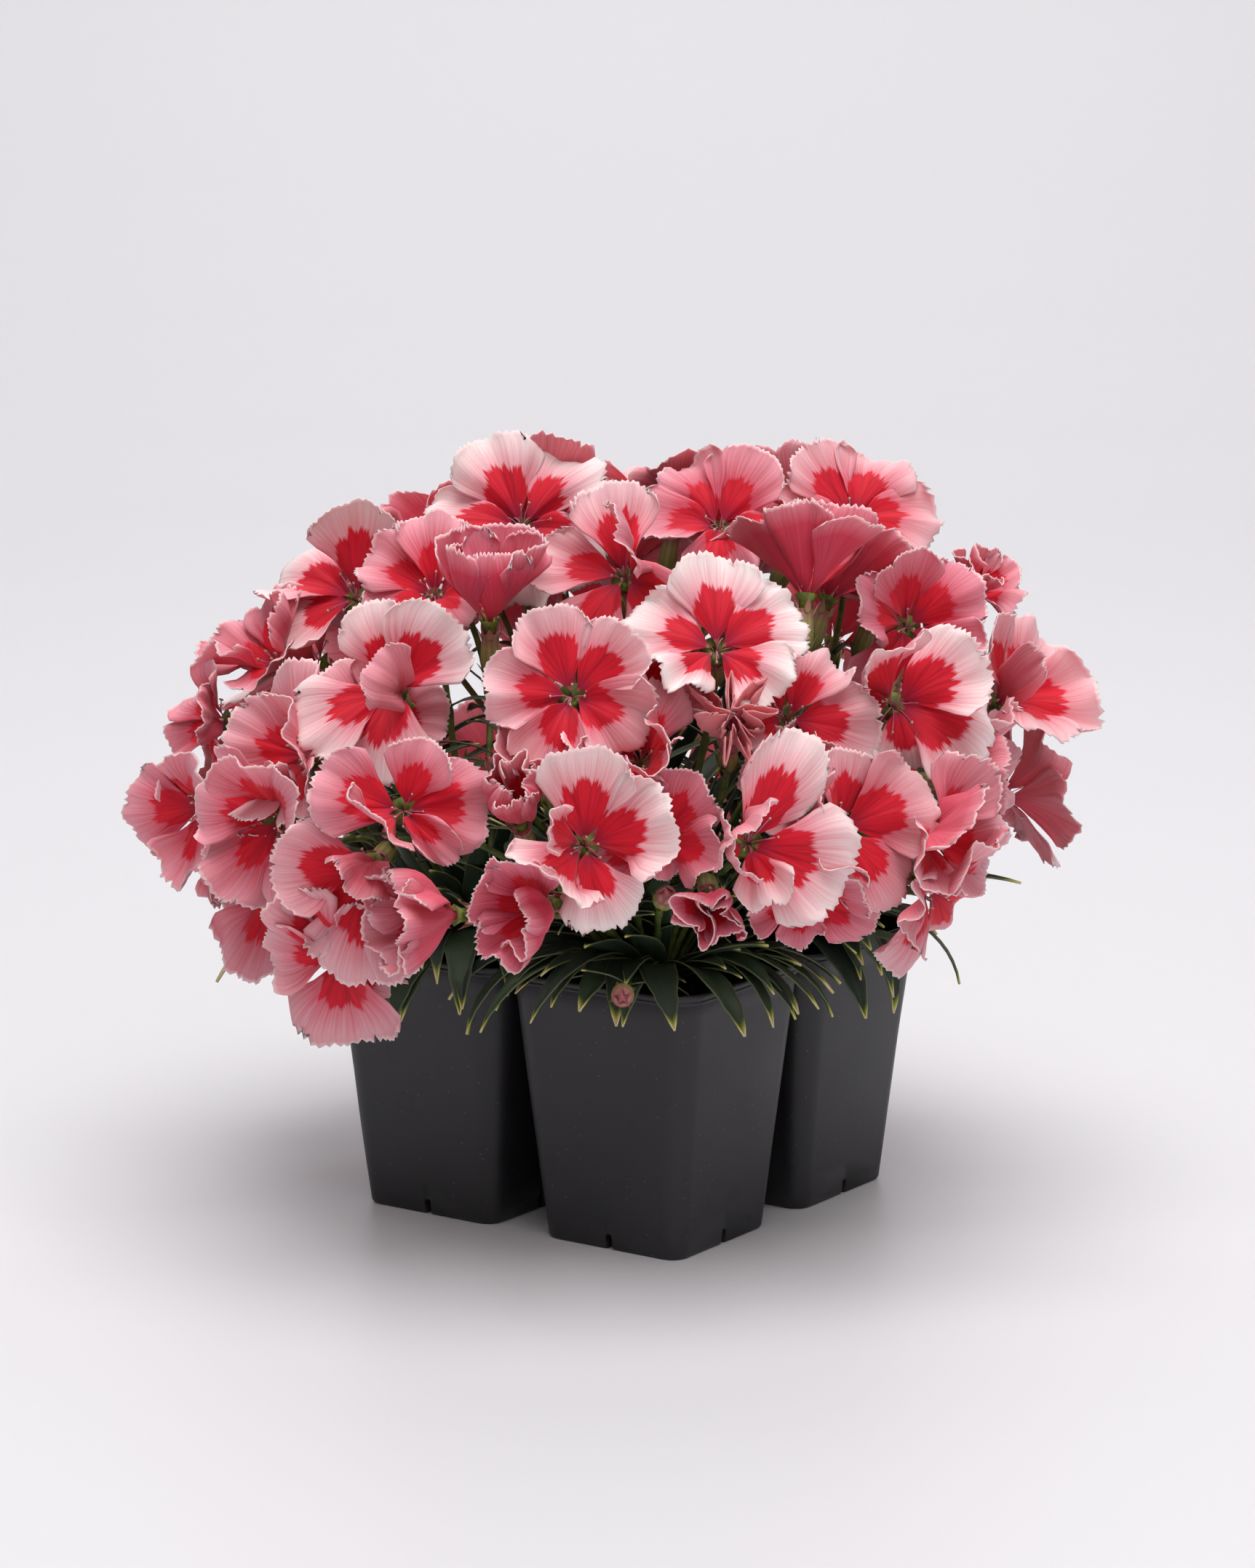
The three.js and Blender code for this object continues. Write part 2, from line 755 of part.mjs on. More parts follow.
// A stem starts at the side of the crown that it leans to: the flatter it lies, the further out.
function stemRoot(cell, foot) {
  const away = new THREE.Vector3(foot.x - cell.middle.x, foot.y - cell.middle.y, 0);
  const lean = away.length() / Math.hypot(away.length(), foot.z - crown.top);
  const root = cell.middle.clone().addScaledVector(away.normalize(), crown.fan * lean);
  root.z = crown.top - stem.sunk;
  return root;
}

// Each stem curves from the crown to the foot of its head, which it meets in line with it.
function stemPath(root, foot, out, sway, slip) {
  const reach = root.distanceTo(foot);
  const inward = new THREE.Vector3(-foot.x, -foot.y, 0).normalize();
  const aside = new THREE.Vector3(-inward.y, inward.x, 0);
  const bend = inward.clone().multiplyScalar(sway).addScaledVector(aside, slip);
  const curve = new THREE.CubicBezierCurve3(
    root,
    root.clone().lerp(foot, stem.lean).add(new THREE.Vector3(0, 0, reach * stem.climb)).add(bend),
    foot.clone().addScaledVector(out, -reach * stem.approach).add(bend),
    foot,
  );
  return curve.getPoints(stem.segments);
}

function stemSolids(head, cell, sway, slip) {
  const foot = head.end.clone().addScaledVector(head.out, -head.length);
  const path = stemPath(stemRoot(cell, foot), foot, head.out, sway, slip);
  const radii = path.map(() => stem.radius);
  const above = head.profile.slice(1);
  const headPath = above.map(([share]) => foot.clone().lerp(head.end, share));
  const headRadii = above.map(([, radius]) => radius);
  return {
    path,
    solid: tube([...path, ...headPath], [...radii, ...headRadii], stem.sides),
    room: boxed(wideTube(path.slice(1), radii.slice(1))),
  };
}

// Grows a stem to a head by the first way that clears the pots, every petal and the other plants,
// or else by the way that meets the fewest of them.
function growStem(head, cellIndex, petals) {
  const obstacles = [...standing, ...petals, ...roomsOfOthers(cellIndex)];
  const ways = stem.sways.flatMap((sway) => stem.slips.map((slip) => [sway, slip]));
  const trials = ways.map(([sway, slip], order) => {
    const trial = stemSolids(head, cells[cellIndex], sway, slip);
    return { ...trial, order, hits: obstacles.filter((other) => clash(trial.room, [other])).length };
  });
  trials.sort((a, b) => a.hits - b.hits || a.order - b.order);
  return trials.find((trial) => fuse(cellIndex, trial.solid, [trial.room, head.room])).path;
}

const stems = settled.map((bloom, index) => {
  const cellIndex = nearestCell(bloom.throat);
  const head = {
    end: calyxMouth(bloom),
    out: bloom.out,
    length: calyx.length,
    profile: calyxProfile,
    room: boxed(neckTrial(bloom)),
  };
  const petals = placed.filter((other) => other.owner !== index);
  return { cellIndex, path: growStem(head, cellIndex, petals) };
});

// Closed buds: the bearing, rise and reach of each tip from the dome's heart. Each looks a little
// higher than it stands.
const budTilt = 15;
const buds = [
  [-58, 8, 108],
  [-56, -8, 104],
  [-49, 7, 100],
  [-79, 27, 100],
];

// A bud sits at the first depth below the blooms where it has room.
function budHead(bearing, rise, reach) {
  const out = direction(bearing, rise + budTilt);
  const heads = settle.sinks.map((sink) => {
    const end = direction(bearing, rise).multiplyScalar(reach - sink);
    end.z += dome.heart;
    const foot = end.clone().addScaledVector(out, -bud.length);
    const room = boxed(wideTube([foot, end], [bud.radius, bud.radius]));
    return { end, out, length: bud.length, profile: budProfile, room };
  });
  return heads.find(({ room }) => !clash(room, placed)) ?? heads.at(-1);
}

for (const [bearing, rise, reach] of buds) {
  const head = budHead(bearing, rise, reach);
  growStem(head, nearestCell(head.end), placed);
}

// A leaf: a pointed blade with a shallow channel, arched from its root to its tip.
function leafPoint(blade, line, aside, proud) {
  return blade.root
    .clone()
    .addScaledVector(direction(blade.bearing, 0), line.away - proud * Math.sin(line.slope))
    .addScaledVector(direction(blade.bearing + 90, 0), aside)
    .add(new THREE.Vector3(0, 0, line.height + proud * Math.cos(line.slope)));
}

function leafHalfWidth(width, along) {
  return (width / 2) * Math.pow(4 * along * (1 - along), leaf.taper);
}

function leafSolid(blade, room = 0) {
  const lineAt = (along) => arc(blade.length, blade.rise, blade.fall, along);
  const points = [leafPoint(blade, lineAt(0), 0, 0), leafPoint(blade, lineAt(1), 0, 0)];
  const triangles = [];
  const corner = (station, k) => 2 + station * 4 + (k % 4);
  blade.stations.forEach((along, station) => {
    const line = lineAt(along);
    const half = leafHalfWidth(blade.width, along) + room;
    points.push(
      leafPoint(blade, line, half, 0),
      leafPoint(blade, line, 0, leaf.thickness - leaf.channel + room),
      leafPoint(blade, line, -half, 0),
      leafPoint(blade, line, 0, -leaf.channel - room),
    );
    for (let k = 0; k < 4 && station > 0; k++) {
      triangles.push([corner(station - 1, k), corner(station, k + 1), corner(station, k)]);
      triangles.push([corner(station - 1, k), corner(station - 1, k + 1), corner(station, k + 1)]);
    }
  });
  const last = blade.stations.length - 1;
  for (let k = 0; k < 4; k++) {
    triangles.push([0, corner(0, k + 1), corner(0, k)], [1, corner(last, k), corner(last, k + 1)]);
  }
  return solidFromTriangles(points, triangles);
}

// Adds a leaf where it clears the pack, the soil, every bloom and the other plants.
function growLeaf(cellIndex, blade) {
  const room = boxed(leafSolid(blade, clearance));
  if (clash(room, [...standing, ...placed, ...roomsOfOthers(cellIndex)])) {
    return false;
  }
  return fuse(cellIndex, leafSolid(blade), [room]);
}

function crownRoot(cellIndex, bearing) {
  const root = cells[cellIndex].middle.clone().addScaledVector(direction(bearing, 0), crown.fan);
  root.z = crown.top - crown.leafDepth;
  return root;
}

// Leaves that droop over the rim: cell, bearing, rise at the root, slope at the tip, length, width.
const rimLeaves = [
  [1, -138, 50, -60, 80, 10],
  [1, -83, 58, -90, 57, 9],
  [0, -128, 55, -80, 64, 8],
  [1, -57, 54, -62, 58, 8],
  [0, -111, 50, -42, 46, 8],
  [0, -102, 62, -60, 47, 7],
  [0, -84, 58, -56, 45, 9],
  [0, -70, 64, -72, 48, 8],
  [0, -50, 52, -56, 53, 9],
  [0, -30, 52, -66, 52, 9],
  [0, 6, 56, -68, 48, 9],
  [0, 29, 50, -48, 52, 8],
  [2, -11, 55, -92, 56, 9],
  [2, -36, 52, -80, 60, 9],
  [2, 39, 52, -80, 61, 8],
  [2, 20, 50, -14, 72, 7],
];

// Tries bearings to both sides in turn until the leaf finds room.
function growLeafNear(cellIndex, blade, turns) {
  return turns.some((turn) => {
    const bearing = blade.bearing + turn;
    return growLeaf(cellIndex, { ...blade, bearing, root: crownRoot(cellIndex, bearing) });
  });
}

for (const [cellIndex, bearing, rise, fall, length, width] of rimLeaves) {
  const blade = { bearing, rise, fall, length, width, stations: leaf.rimStations };
  growLeafNear(cellIndex, blade, leaf.rimTurns);
}

function fanBlade(i, dice) {
  const habit = i % 2 === 0 ? upright : leaning;
  const rise = roll(habit.rise, dice);
  const fall = rise - roll(habit.droop, dice);
  const length = roll(habit.length, dice);
  const width = roll(fan.width, dice);
  const bearing = i * fan.turn + fan.sway * dice();
  return { bearing, rise, fall, length, width, stations: leaf.fanStations };
}

cells.forEach((cell, cellIndex) => {
  const dice = makeDice(31 + cellIndex);
  for (let i = 0; i < fan.leaves; i++) {
    growLeafNear(cellIndex, fanBlade(i, dice), leaf.fanTurns);
  }
});

stems.forEach(({ cellIndex, path }, i) => {
  if (i % pair.every !== 0) {
    return;
  }
  const dice = makeDice(101 + i);
  const along = path[pair.joint + 1].clone().sub(path[pair.joint - 1]);
  const aside = Math.atan2(along.y, along.x) / degrees + 90 + pair.sway * (2 * dice() - 1);
  const rise = roll(pair.rise, dice);
  const fall = roll(pair.fall, dice);
  const length = roll(pair.length, dice);
  const root = path[pair.joint];
  const stations = leaf.pairStations;
  for (const bearing of [aside, aside + 180]) {
    growLeaf(cellIndex, { root, bearing, rise, fall, length, width: pair.width, stations });
  }
});
const greenSolids = greens.map(({ body }) => soundBody(body));
cells.forEach((cell, index) => addPiece(`greens_${cell.name}`, greenSolids[index], look.greens));

// The blooms: where a stem or leaf could find no way round one, its petals part for it.

function partForGreens(solid) {
  let parted = solid;
  greens.forEach(({ rooms }, index) => {
    if (clash(boxed(solid), [boxed(greenSolids[index])])) {
      const pressing = rooms.filter((room) => clash(boxed(solid), [room]));
      parted = parted.subtract(Manifold.union(pressing.map((room) => room.solid)));
    }
  });
  return parted;
}

const heads = settled.map((_, index) => index).filter((index) => headOf(index) === index);
heads.forEach((head, number) => {
  const members = bloomSolids.filter((_, index) => headOf(index) === head);
  const solid = soundBody(partForGreens(Manifold.union(members)));
  addPiece(`bloom_${String(number + 1).padStart(2, '0')}`, solid, look.bloom);
});

// The group is moved so that the middle of the whole plant stands over the origin.
const middle = new THREE.Box3().setFromObject(plant).getCenter(new THREE.Vector3());
plant.position.set(-Math.round(middle.x), -Math.round(middle.y), 0);

export default plant;
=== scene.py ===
import math
import random
import bmesh
import bpy
from mathutils import Matrix, Vector, kdtree, noise


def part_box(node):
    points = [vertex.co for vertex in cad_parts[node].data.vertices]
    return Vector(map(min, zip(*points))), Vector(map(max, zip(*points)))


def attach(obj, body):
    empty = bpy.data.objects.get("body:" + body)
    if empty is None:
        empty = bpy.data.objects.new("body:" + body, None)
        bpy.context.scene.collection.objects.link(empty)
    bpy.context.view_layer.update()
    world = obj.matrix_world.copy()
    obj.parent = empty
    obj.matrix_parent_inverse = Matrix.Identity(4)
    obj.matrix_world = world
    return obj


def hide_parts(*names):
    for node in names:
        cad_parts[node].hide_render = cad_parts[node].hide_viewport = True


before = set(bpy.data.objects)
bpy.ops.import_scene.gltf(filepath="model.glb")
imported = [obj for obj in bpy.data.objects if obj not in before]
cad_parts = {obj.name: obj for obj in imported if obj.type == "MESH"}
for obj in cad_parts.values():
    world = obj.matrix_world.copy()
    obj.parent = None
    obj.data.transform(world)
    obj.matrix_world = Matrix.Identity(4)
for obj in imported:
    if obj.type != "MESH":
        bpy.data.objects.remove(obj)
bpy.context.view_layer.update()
rad = math.radians
mm = 0.001    # metres
fullTurn = 2 * math.pi
anyAngle = (0, 6.3)    # radians to draw from

# The plant is worked out in millimetres, from the middle of its pack's foot.
packLow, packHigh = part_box("cell_pack")
packMiddle = Vector(((packLow.x + packHigh.x) / 2, (packLow.y + packHigh.y) / 2, packLow.z))
plantToRow = Matrix.Translation(packMiddle) @ Matrix.Scale(mm, 4)
rowToPlant = plantToRow.inverted()

view = {
    "place": Vector((716.5, -1032.1, 349.3)),    # mm
    "turn": 34.77,
    "tilt": 10.402,
    "lens": 103.5,
    "sensor": 36,
    "farEnd": 50,    # metres
}


def makeCamera():
    camera = bpy.data.cameras.new("camera")
    camera.lens = view["lens"]
    camera.sensor_width = view["sensor"]
    camera.clip_end = view["farEnd"]
    holder = bpy.data.objects.new("camera", camera)
    holder.location = plantToRow @ view["place"]
    holder.rotation_euler = (rad(90 - view["tilt"]), 0, rad(view["turn"]))
    bpy.context.scene.collection.objects.link(holder)
    bpy.context.scene.camera = holder
    bpy.context.scene.view_settings.view_transform = "Standard"


makeCamera()
print("camera set")


def toLinear(hexColour):
    channels = [int(hexColour[i:i + 2], 16) / 255 for i in (1, 3, 5)]
    linear = [c / 12.92 if c <= 0.04045 else ((c + 0.055) / 1.055) ** 2.4 for c in channels]
    return (*linear, 1.0)


def addNode(tree, kind, settings=None, links=None):    # a link comes from a socket, or a node's main output
    node = tree.nodes.new("ShaderNode" + kind)
    for key, value in (settings or {}).items():
        if key == "stops":
            ramp = node.color_ramp
            while len(ramp.elements) < len(value):
                ramp.elements.new(0.5)
            for element, (position, hexColour) in zip(ramp.elements, value):
                element.position = position
                element.color = toLinear(hexColour)
        elif isinstance(key, int) or key in node.inputs:
            node.inputs[key].default_value = toLinear(value) if isinstance(value, str) else value
        else:
            setattr(node, key, value)
    for key, source in (links or {}).items():
        if isinstance(source, bpy.types.Node):
            main = next((name for name in ("Result", "Fac") if name in source.outputs), 0)
            source = source.outputs[main]
        tree.links.new(source, node.inputs[key])
    return node


def newMaterial(name):
    material = bpy.data.materials.new(name)
    material.use_nodes = True
    material.node_tree.nodes.clear()
    return material, material.node_tree


def closeMaterial(tree, shader):
    addNode(tree, "OutputMaterial", links={"Surface": shader})


def makeDice(seed):    # the same draws as the ones that the solids were laid out with
    state = seed
    step, span = 16807, 2147483647

    def roll():
        nonlocal state
        state = state * step % span
        return state / span
    return roll


def perMetre(size):    # the scale of a pattern whose grains are this many mm wide
    return 1 / (size * mm)


def direction(bearing, rise):
    flat = math.cos(rad(rise))
    return Vector((flat * math.cos(rad(bearing)), flat * math.sin(rad(bearing)), math.sin(rad(rise))))


def smooth(low, high, x):
    t = min(max((x - low) / (high - low), 0), 1)
    return t * t * (3 - 2 * t)


def lerp(a, b, t):
    return a + (b - a) * t


def alongStops(stops, x):    # a value between the stops on both sides of x
    for (x0, y0), (x1, y1) in zip(stops, stops[1:]):
        if x <= x1:
            return lerp(y0, y1, smooth(x0, x1, x))
    return stops[-1][1]


def arcLine(length, firstSlope, lastSlope, along):    # way out, height and slope on a bent midline
    start = rad(firstSlope)
    bend = start - rad(lastSlope)
    slope = start - bend * along
    if abs(bend) < 1e-6:
        return length * along * math.cos(start), length * along * math.sin(start), slope
    away = length * (math.sin(start) - math.sin(slope)) / bend
    height = length * (math.cos(slope) - math.cos(start)) / bend
    return away, height, slope


def bezier(corners, t):
    s = 1 - t
    a, b, c, d = corners
    return a * s ** 3 + b * 3 * s * s * t + c * 3 * s * t * t + d * t ** 3


def treeOf(points):
    tree = kdtree.KDTree(len(points))
    for index, point in enumerate(points):
        tree.insert(point, index)
    tree.balance()
    return tree


def finishPiece(name, bm, materials, nodes=(), thickness=None, backOffset=0):
    bm.transform(plantToRow)
    for face in bm.faces:
        face.smooth = True
    mesh = bpy.data.meshes.new(name)
    bm.to_mesh(mesh)
    bm.free()
    for material in materials:
        mesh.materials.append(material)
    piece = bpy.data.objects.new(name, mesh)
    bpy.context.scene.collection.objects.link(piece)
    if thickness:
        skin = piece.modifiers.new("thickness", "SOLIDIFY")
        skin.thickness = thickness * mm
        skin.offset = 0
        skin.material_offset = backOffset
    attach(piece, "root")
    if nodes:
        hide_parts(*nodes)
    return piece


def ringAfter(oldRing, edges, bm):    # extrudes a ring of edges once, and keeps its vertices in order
    grown = bmesh.ops.extrude_edge_only(bm, edges=edges)["geom"]
    fresh = {item for item in grown if isinstance(item, bmesh.types.BMVert)}
    newEdges = [item for item in grown if isinstance(item, bmesh.types.BMEdge)
                and item.verts[0] in fresh and item.verts[1] in fresh]
    faces = [item for item in grown if isinstance(item, bmesh.types.BMFace)]
    ring = [next(edge.other_vert(vert) for edge in vert.link_edges if edge.other_vert(vert) in fresh)
            for vert in oldRing]
    return ring, newEdges, faces


def loftRings(bm, rings, material=0):    # a closed skin through rings of points
    ring = bmesh.ops.create_circle(bm, segments=len(rings[0]), radius=1, cap_ends=True)["verts"]
    edges = list({edge for vert in ring for edge in vert.link_edges})
    made = list({face for vert in ring for face in vert.link_faces})
    loops = []
    for index, spots in enumerate(rings):
        if index:
            ring, edges, faces = ringAfter(ring, edges, bm)
            made += faces
        for vert, spot in zip(ring, spots):
            vert.co = spot
        loops.append(ring)
    made += bmesh.ops.edgeloop_fill(bm, edges=edges)["faces"]
    bmesh.ops.recalc_face_normals(bm, faces=made)
    for face in made:
        face.material_index = material
    return loops


def sweepTube(bm, path, radii, sides, material=0):
    side = (path[1] - path[0]).orthogonal()
    rings = []
    for index, point in enumerate(path):
        along = (path[min(index + 1, len(path) - 1)] - path[max(index - 1, 0)]).normalized()
        side = (side - along * side.dot(along)).normalized()
        other = along.cross(side)
        turns = [fullTurn * k / sides for k in range(sides)]
        rings.append([point + (side * math.cos(a) + other * math.sin(a)) * radii[index] for a in turns])
    return loftRings(bm, rings, material)


bloomShape = {
    "petals": 5,
    "heart": Vector((0, 0, 95)),    # the middle of the dome, which the blooms are placed round
    "edgeTurn": 33, "edgeSteps": 6, "farEdgeSteps": 4, "toothDepth": 0.07, "cornerFall": 0.1,
    "arch": 50, "hubDepth": 4.5,
    "shares": (1, 0.88, 0.76),
    "sinks": (0, 3, 6, 9, 12, 16),
    "liftStep": 12, "liftTries": 5,
}

# Each bloom: bearing, rise and reach of its throat from the heart of the dome, the bearing and rise
# that it faces, petal length, turn of its first petal, how far each petal lifts, and how pale it is.
bloomRows = [
    (-38, 43, 108, -55, 38, 25, 18, (0, 12, 5, -5, -15), 1.0),
    (-39, 14, 115, -56, 14, 28, 60, (5, 45, 25, 0, 0), 0.8),
    (-99, 34, 109, -62, 24, 29, 45, (30, 25, -5, -15, 84), 0.85),
    (-88, 17, 114, -60, 14, 26, 7, (0, 15, 20, 72, 10), 0.2),
    (-61, 14, 114, -58, 16, 27, 15, (25, 30, 66, 50, -45), 0.9),
    (-22, 15, 114, -42, 16, 26, 18, (5, 15, 55, 50, 0), 0.4),
    (-6, 31, 110, -45, 35, 28, 40, (25, 72, -20, -15, -10), 0.9),
    (36, 24, 116, -18, 40, 26, 47, (15, 45, 72, 35, 20), 0.5),
    (-93, 9, 112, -68, -6, 30, 56, (20, 20, 0, 0, 10), 0.4),
    (-153, 44, 108, -66, 42, 27, 15, (20, 35, 0, -10, -20), 0.9),
    (-175, 70, 101, -60, 52, 27, 47, (25, 30, 5, -10, -15), 0.9),
    (-65, 36, 107, -60, 30, 23, 39, (20, 25, 15, 0, 10), 0.5),
    (-23, 34, 108, -50, 28, 24, 56, (10, 25, 15, 0, -5), 0.55),
    (-56, 61, 102, -70, 40, 25, 30, (75, 20, 0, -5, -10), 0.55),
    (27, 16, 113, 5, 6, 26, 20, (0, 30, 45, 15, -5), 0.4),
    (-142, 9, 120, -112, -4, 27, 50, (30, 25, 0, -5, 20), 0.2),
    (-112, 13, 114, -86, 10, 26, 20, (55, 60, 20, 10, 20), 0.2),
    (21, 42, 107, -45, 26, 23, 29, (25, 48, 55, -15, 15), 0.1),
    (40, 75, 100, -55, 62, 23, 55, (35, 35, 10, -10, 0), 0.2),
    (48, 56, 117, -48, 62, 24, 56, (30, 35, 10, 0, 5), 0.45),
    (-53, 27, 109, -55, 40, 22, 8, (62, 30, 25, 40, 50), 0.3),
    (-50, 16, 110, -55, 10, 20, 54, (20, 25, 10, 25, 35), 0.1),
    (-98, -3, 112, -68, -28, 28, 54, (10, 15, 10, 5, 5), 0.35),
    (-122, 3, 113, -112, -22, 25, 40, (20, 15, 10, 10, 15), 0.2),
    (-79, 4, 114, -120, 5, 23, 0, (52, 52, 52, 52, 52), 0.2),
    (-66, 6, 114, -92, 0, 20, 20, (58, 56, 54, 56, 58), 0.0),
    (-43, 6, 110, -54, -8, 18, 30, (42, 45, 42, 40, 45), 0.0),
    (-70, 28, 108, -56, 52, 25, 40, (50, 50, 50, 52, 50), 0.3),
    (-55, 40, 103, -25, 45, 24, 30, (35, 30, 48, 50, 40), 0.15),
    (-89, 50, 104, -60, 76, 25, 0, (56, 54, 52, 54, 56), 0.0),
    (-114, 31, 109, -72, 25, 24, 5, (10, 20, 40, 55, 45), 0.3),
    (-5, 53, 105, 115, 66, 26, 10, (45, 45, 45, 45, 45), 0.05),
    (21, 54, 104, 85, 58, 26, 40, (45, 45, 45, 45, 45), 0.1),
    (-9, 12, 112, -12, 5, 25, 52, (10, 20, 40, 20, 5), 0.25),
    (-8, 5, 110, -4, -30, 24, 30, (10, 20, 15, 10, 10), 0.4),
    (-145, 20, 122, -126, 20, 24, 10, (30, 30, 25, 20, 20), 0.15),
    (-147, 30, 119, -118, 42, 23, 50, (35, 35, 25, 20, 25), 0.2),
    (-112, 22, 110, -106, 16, 25, 30, (25, 20, 20, 35, 30), 0.35),
    (-27, 6, 109, -42, -20, 24, 54, (30, 30, 20, 10, 15), 0.1),
    (-38, 30, 104, -55, 38, 19, 0, (66, 74, 60, 70, 62), 0.0),
    (-72, 18, 104, -65, 42, 20, 0, (62, 60, 62, 64, 60), 0.2),
    (-22, 24, 102, -40, 25, 24, 20, (25, 30, 30, 25, 20), 0.2),
    (39, 38, 124, -10, 52, 22, 0, (45, 50, 55, 55, 45), 0.25),
    (42, 46, 118, -20, 62, 22, 30, (40, 40, 40, 45, 40), 0.15),
    (8, 35, 108, 5, 45, 15, 0, (80, 82, 80, 82, 80), 0.2),
    (58, 68, 101, -50, 60, 22, 60, (35, 40, 40, 30, 35), 0.15),
    (-120, 54, 100, -60, 52, 22, 20, (35, 35, 30, 20, 25), 0.25),
]
wiltedRow = 39

# The far side of the dome: rise, reach, first bearing, step and count of each ring.
farRings = [(5, 113, 52, 22, 8), (27, 114, 60, 25, 6), (49, 109, 74, 27, 5), (69, 102, 105, 55, 2)]
farBloom = {"placeStray": 4, "facingStray": 14, "facingRiseStray": 12, "length": 30, "lengthStray": 2,
            "lift": 12, "liftStray": 12, "petalStray": 16, "turnStray": 36}


def farRows():
    dice = makeDice(7)

    def stray(amount):
        return math.floor((dice() - 0.5) * 2 * amount + 0.5)
    rows = []
    for ringRise, reach, first, step, count in farRings:
        for i in range(count):
            bearing = first + i * step + stray(farBloom["placeStray"])
            rise = ringRise + stray(farBloom["placeStray"])
            length = farBloom["length"] + stray(farBloom["lengthStray"])
            turn = stray(farBloom["turnStray"])
            opening = farBloom["lift"] + stray(farBloom["liftStray"])
            lifts = tuple(opening + stray(farBloom["petalStray"]) for _ in range(bloomShape["petals"]))
            facing = bearing + stray(farBloom["facingStray"])
            facingRise = rise + stray(farBloom["facingRiseStray"])
            pale = 0.15 + 0.7 * ((i * 7 + reach) % 5) / 4
            rows.append((bearing, rise, reach, facing, facingRise, length, turn, lifts, pale))
    return rows


def bloomAxes(row, share, sink, edgeSteps):
    bearing, rise, reach, facing, facingRise, length, spin, lifts, pale = row
    out = direction(facing, facingRise)
    across = direction(facing + 90, 0)
    up = out.cross(across)
    throat = bloomShape["heart"] + direction(bearing, rise) * (reach - sink)
    return {"throat": throat, "out": out, "across": across, "up": up, "length": length * share,
            "spin": spin, "lifts": list(lifts), "pale": pale, "edgeSteps": edgeSteps}


def bloomSpot(bloom, turn, away, height):
    around = bloom["across"] * math.cos(rad(turn)) + bloom["up"] * math.sin(rad(turn))
    return bloom["throat"] + around * away + bloom["out"] * height


def edgeSpots(bloom, index, lift):
    middle = bloom["spin"] + index * 360 / bloomShape["petals"]
    half = (bloomShape["arch"] - lift) / 2
    spots = []
    for step in range(bloom["edgeSteps"] + 1):
        side = 2 * step / bloom["edgeSteps"] - 1
        tooth = bloomShape["toothDepth"] if step % 2 == 0 else 0
        along = 1 - bloomShape["cornerFall"] * side * side - tooth
        away, height, _ = arcLine(bloom["length"], lift + half, lift - half, along)
        spots.append(bloomSpot(bloom, middle + bloomShape["edgeTurn"] * side, away, height))
    return spots


# How each bloom settled among its neighbours is read from the corners of its solid.
near = 0.05    # mm
bloomNodes = sorted(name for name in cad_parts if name.startswith("bloom_"))
bloomCorners = [(rowToPlant @ vert.co, name) for name in bloomNodes
                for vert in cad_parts[name].data.vertices]
bloomTree = treeOf([corner for corner, _ in bloomCorners])


def matches(spots):
    return sum(1 for spot in spots if bloomTree.find(spot)[2] < near)


def readPetalLift(bloom, index):
    wanted = bloom["lifts"][index]
    tries = [wanted]
    for i in range(1, bloomShape["liftTries"] + 1):
        tries += [wanted + i * bloomShape["liftStep"], wanted - i * bloomShape["liftStep"]]
    scores = [matches(edgeSpots(bloom, index, lift)) for lift in tries]
    return tries[scores.index(max(scores))], max(scores)


def readBloom(row, edgeSteps):
    found = None
    for share in bloomShape["shares"]:
        for sink in bloomShape["sinks"]:
            bloom = bloomAxes(row, share, sink, edgeSteps)
            if not matches([bloom["throat"], bloom["throat"] - bloom["out"] * bloomShape["hubDepth"]]):
                continue
            score = 0
            for index in range(bloomShape["petals"]):
                bloom["lifts"][index], hits = readPetalLift(bloom, index)
                score += hits
            if found is None or score > found["score"]:
                found = dict(bloom, score=score)
    found["node"] = bloomCorners[bloomTree.find(found["throat"])[1]][1]
    return found


blooms = [readBloom(row, bloomShape["edgeSteps"]) for row in bloomRows]
blooms += [readBloom(row, bloomShape["farEdgeSteps"]) for row in farRows()]
for number, bloom in enumerate(blooms):
    bloom["seed"] = number
    bloom["wilted"] = number == wiltedRow
print("blooms read:", len(blooms), "weakest match", min(bloom["score"] for bloom in blooms))

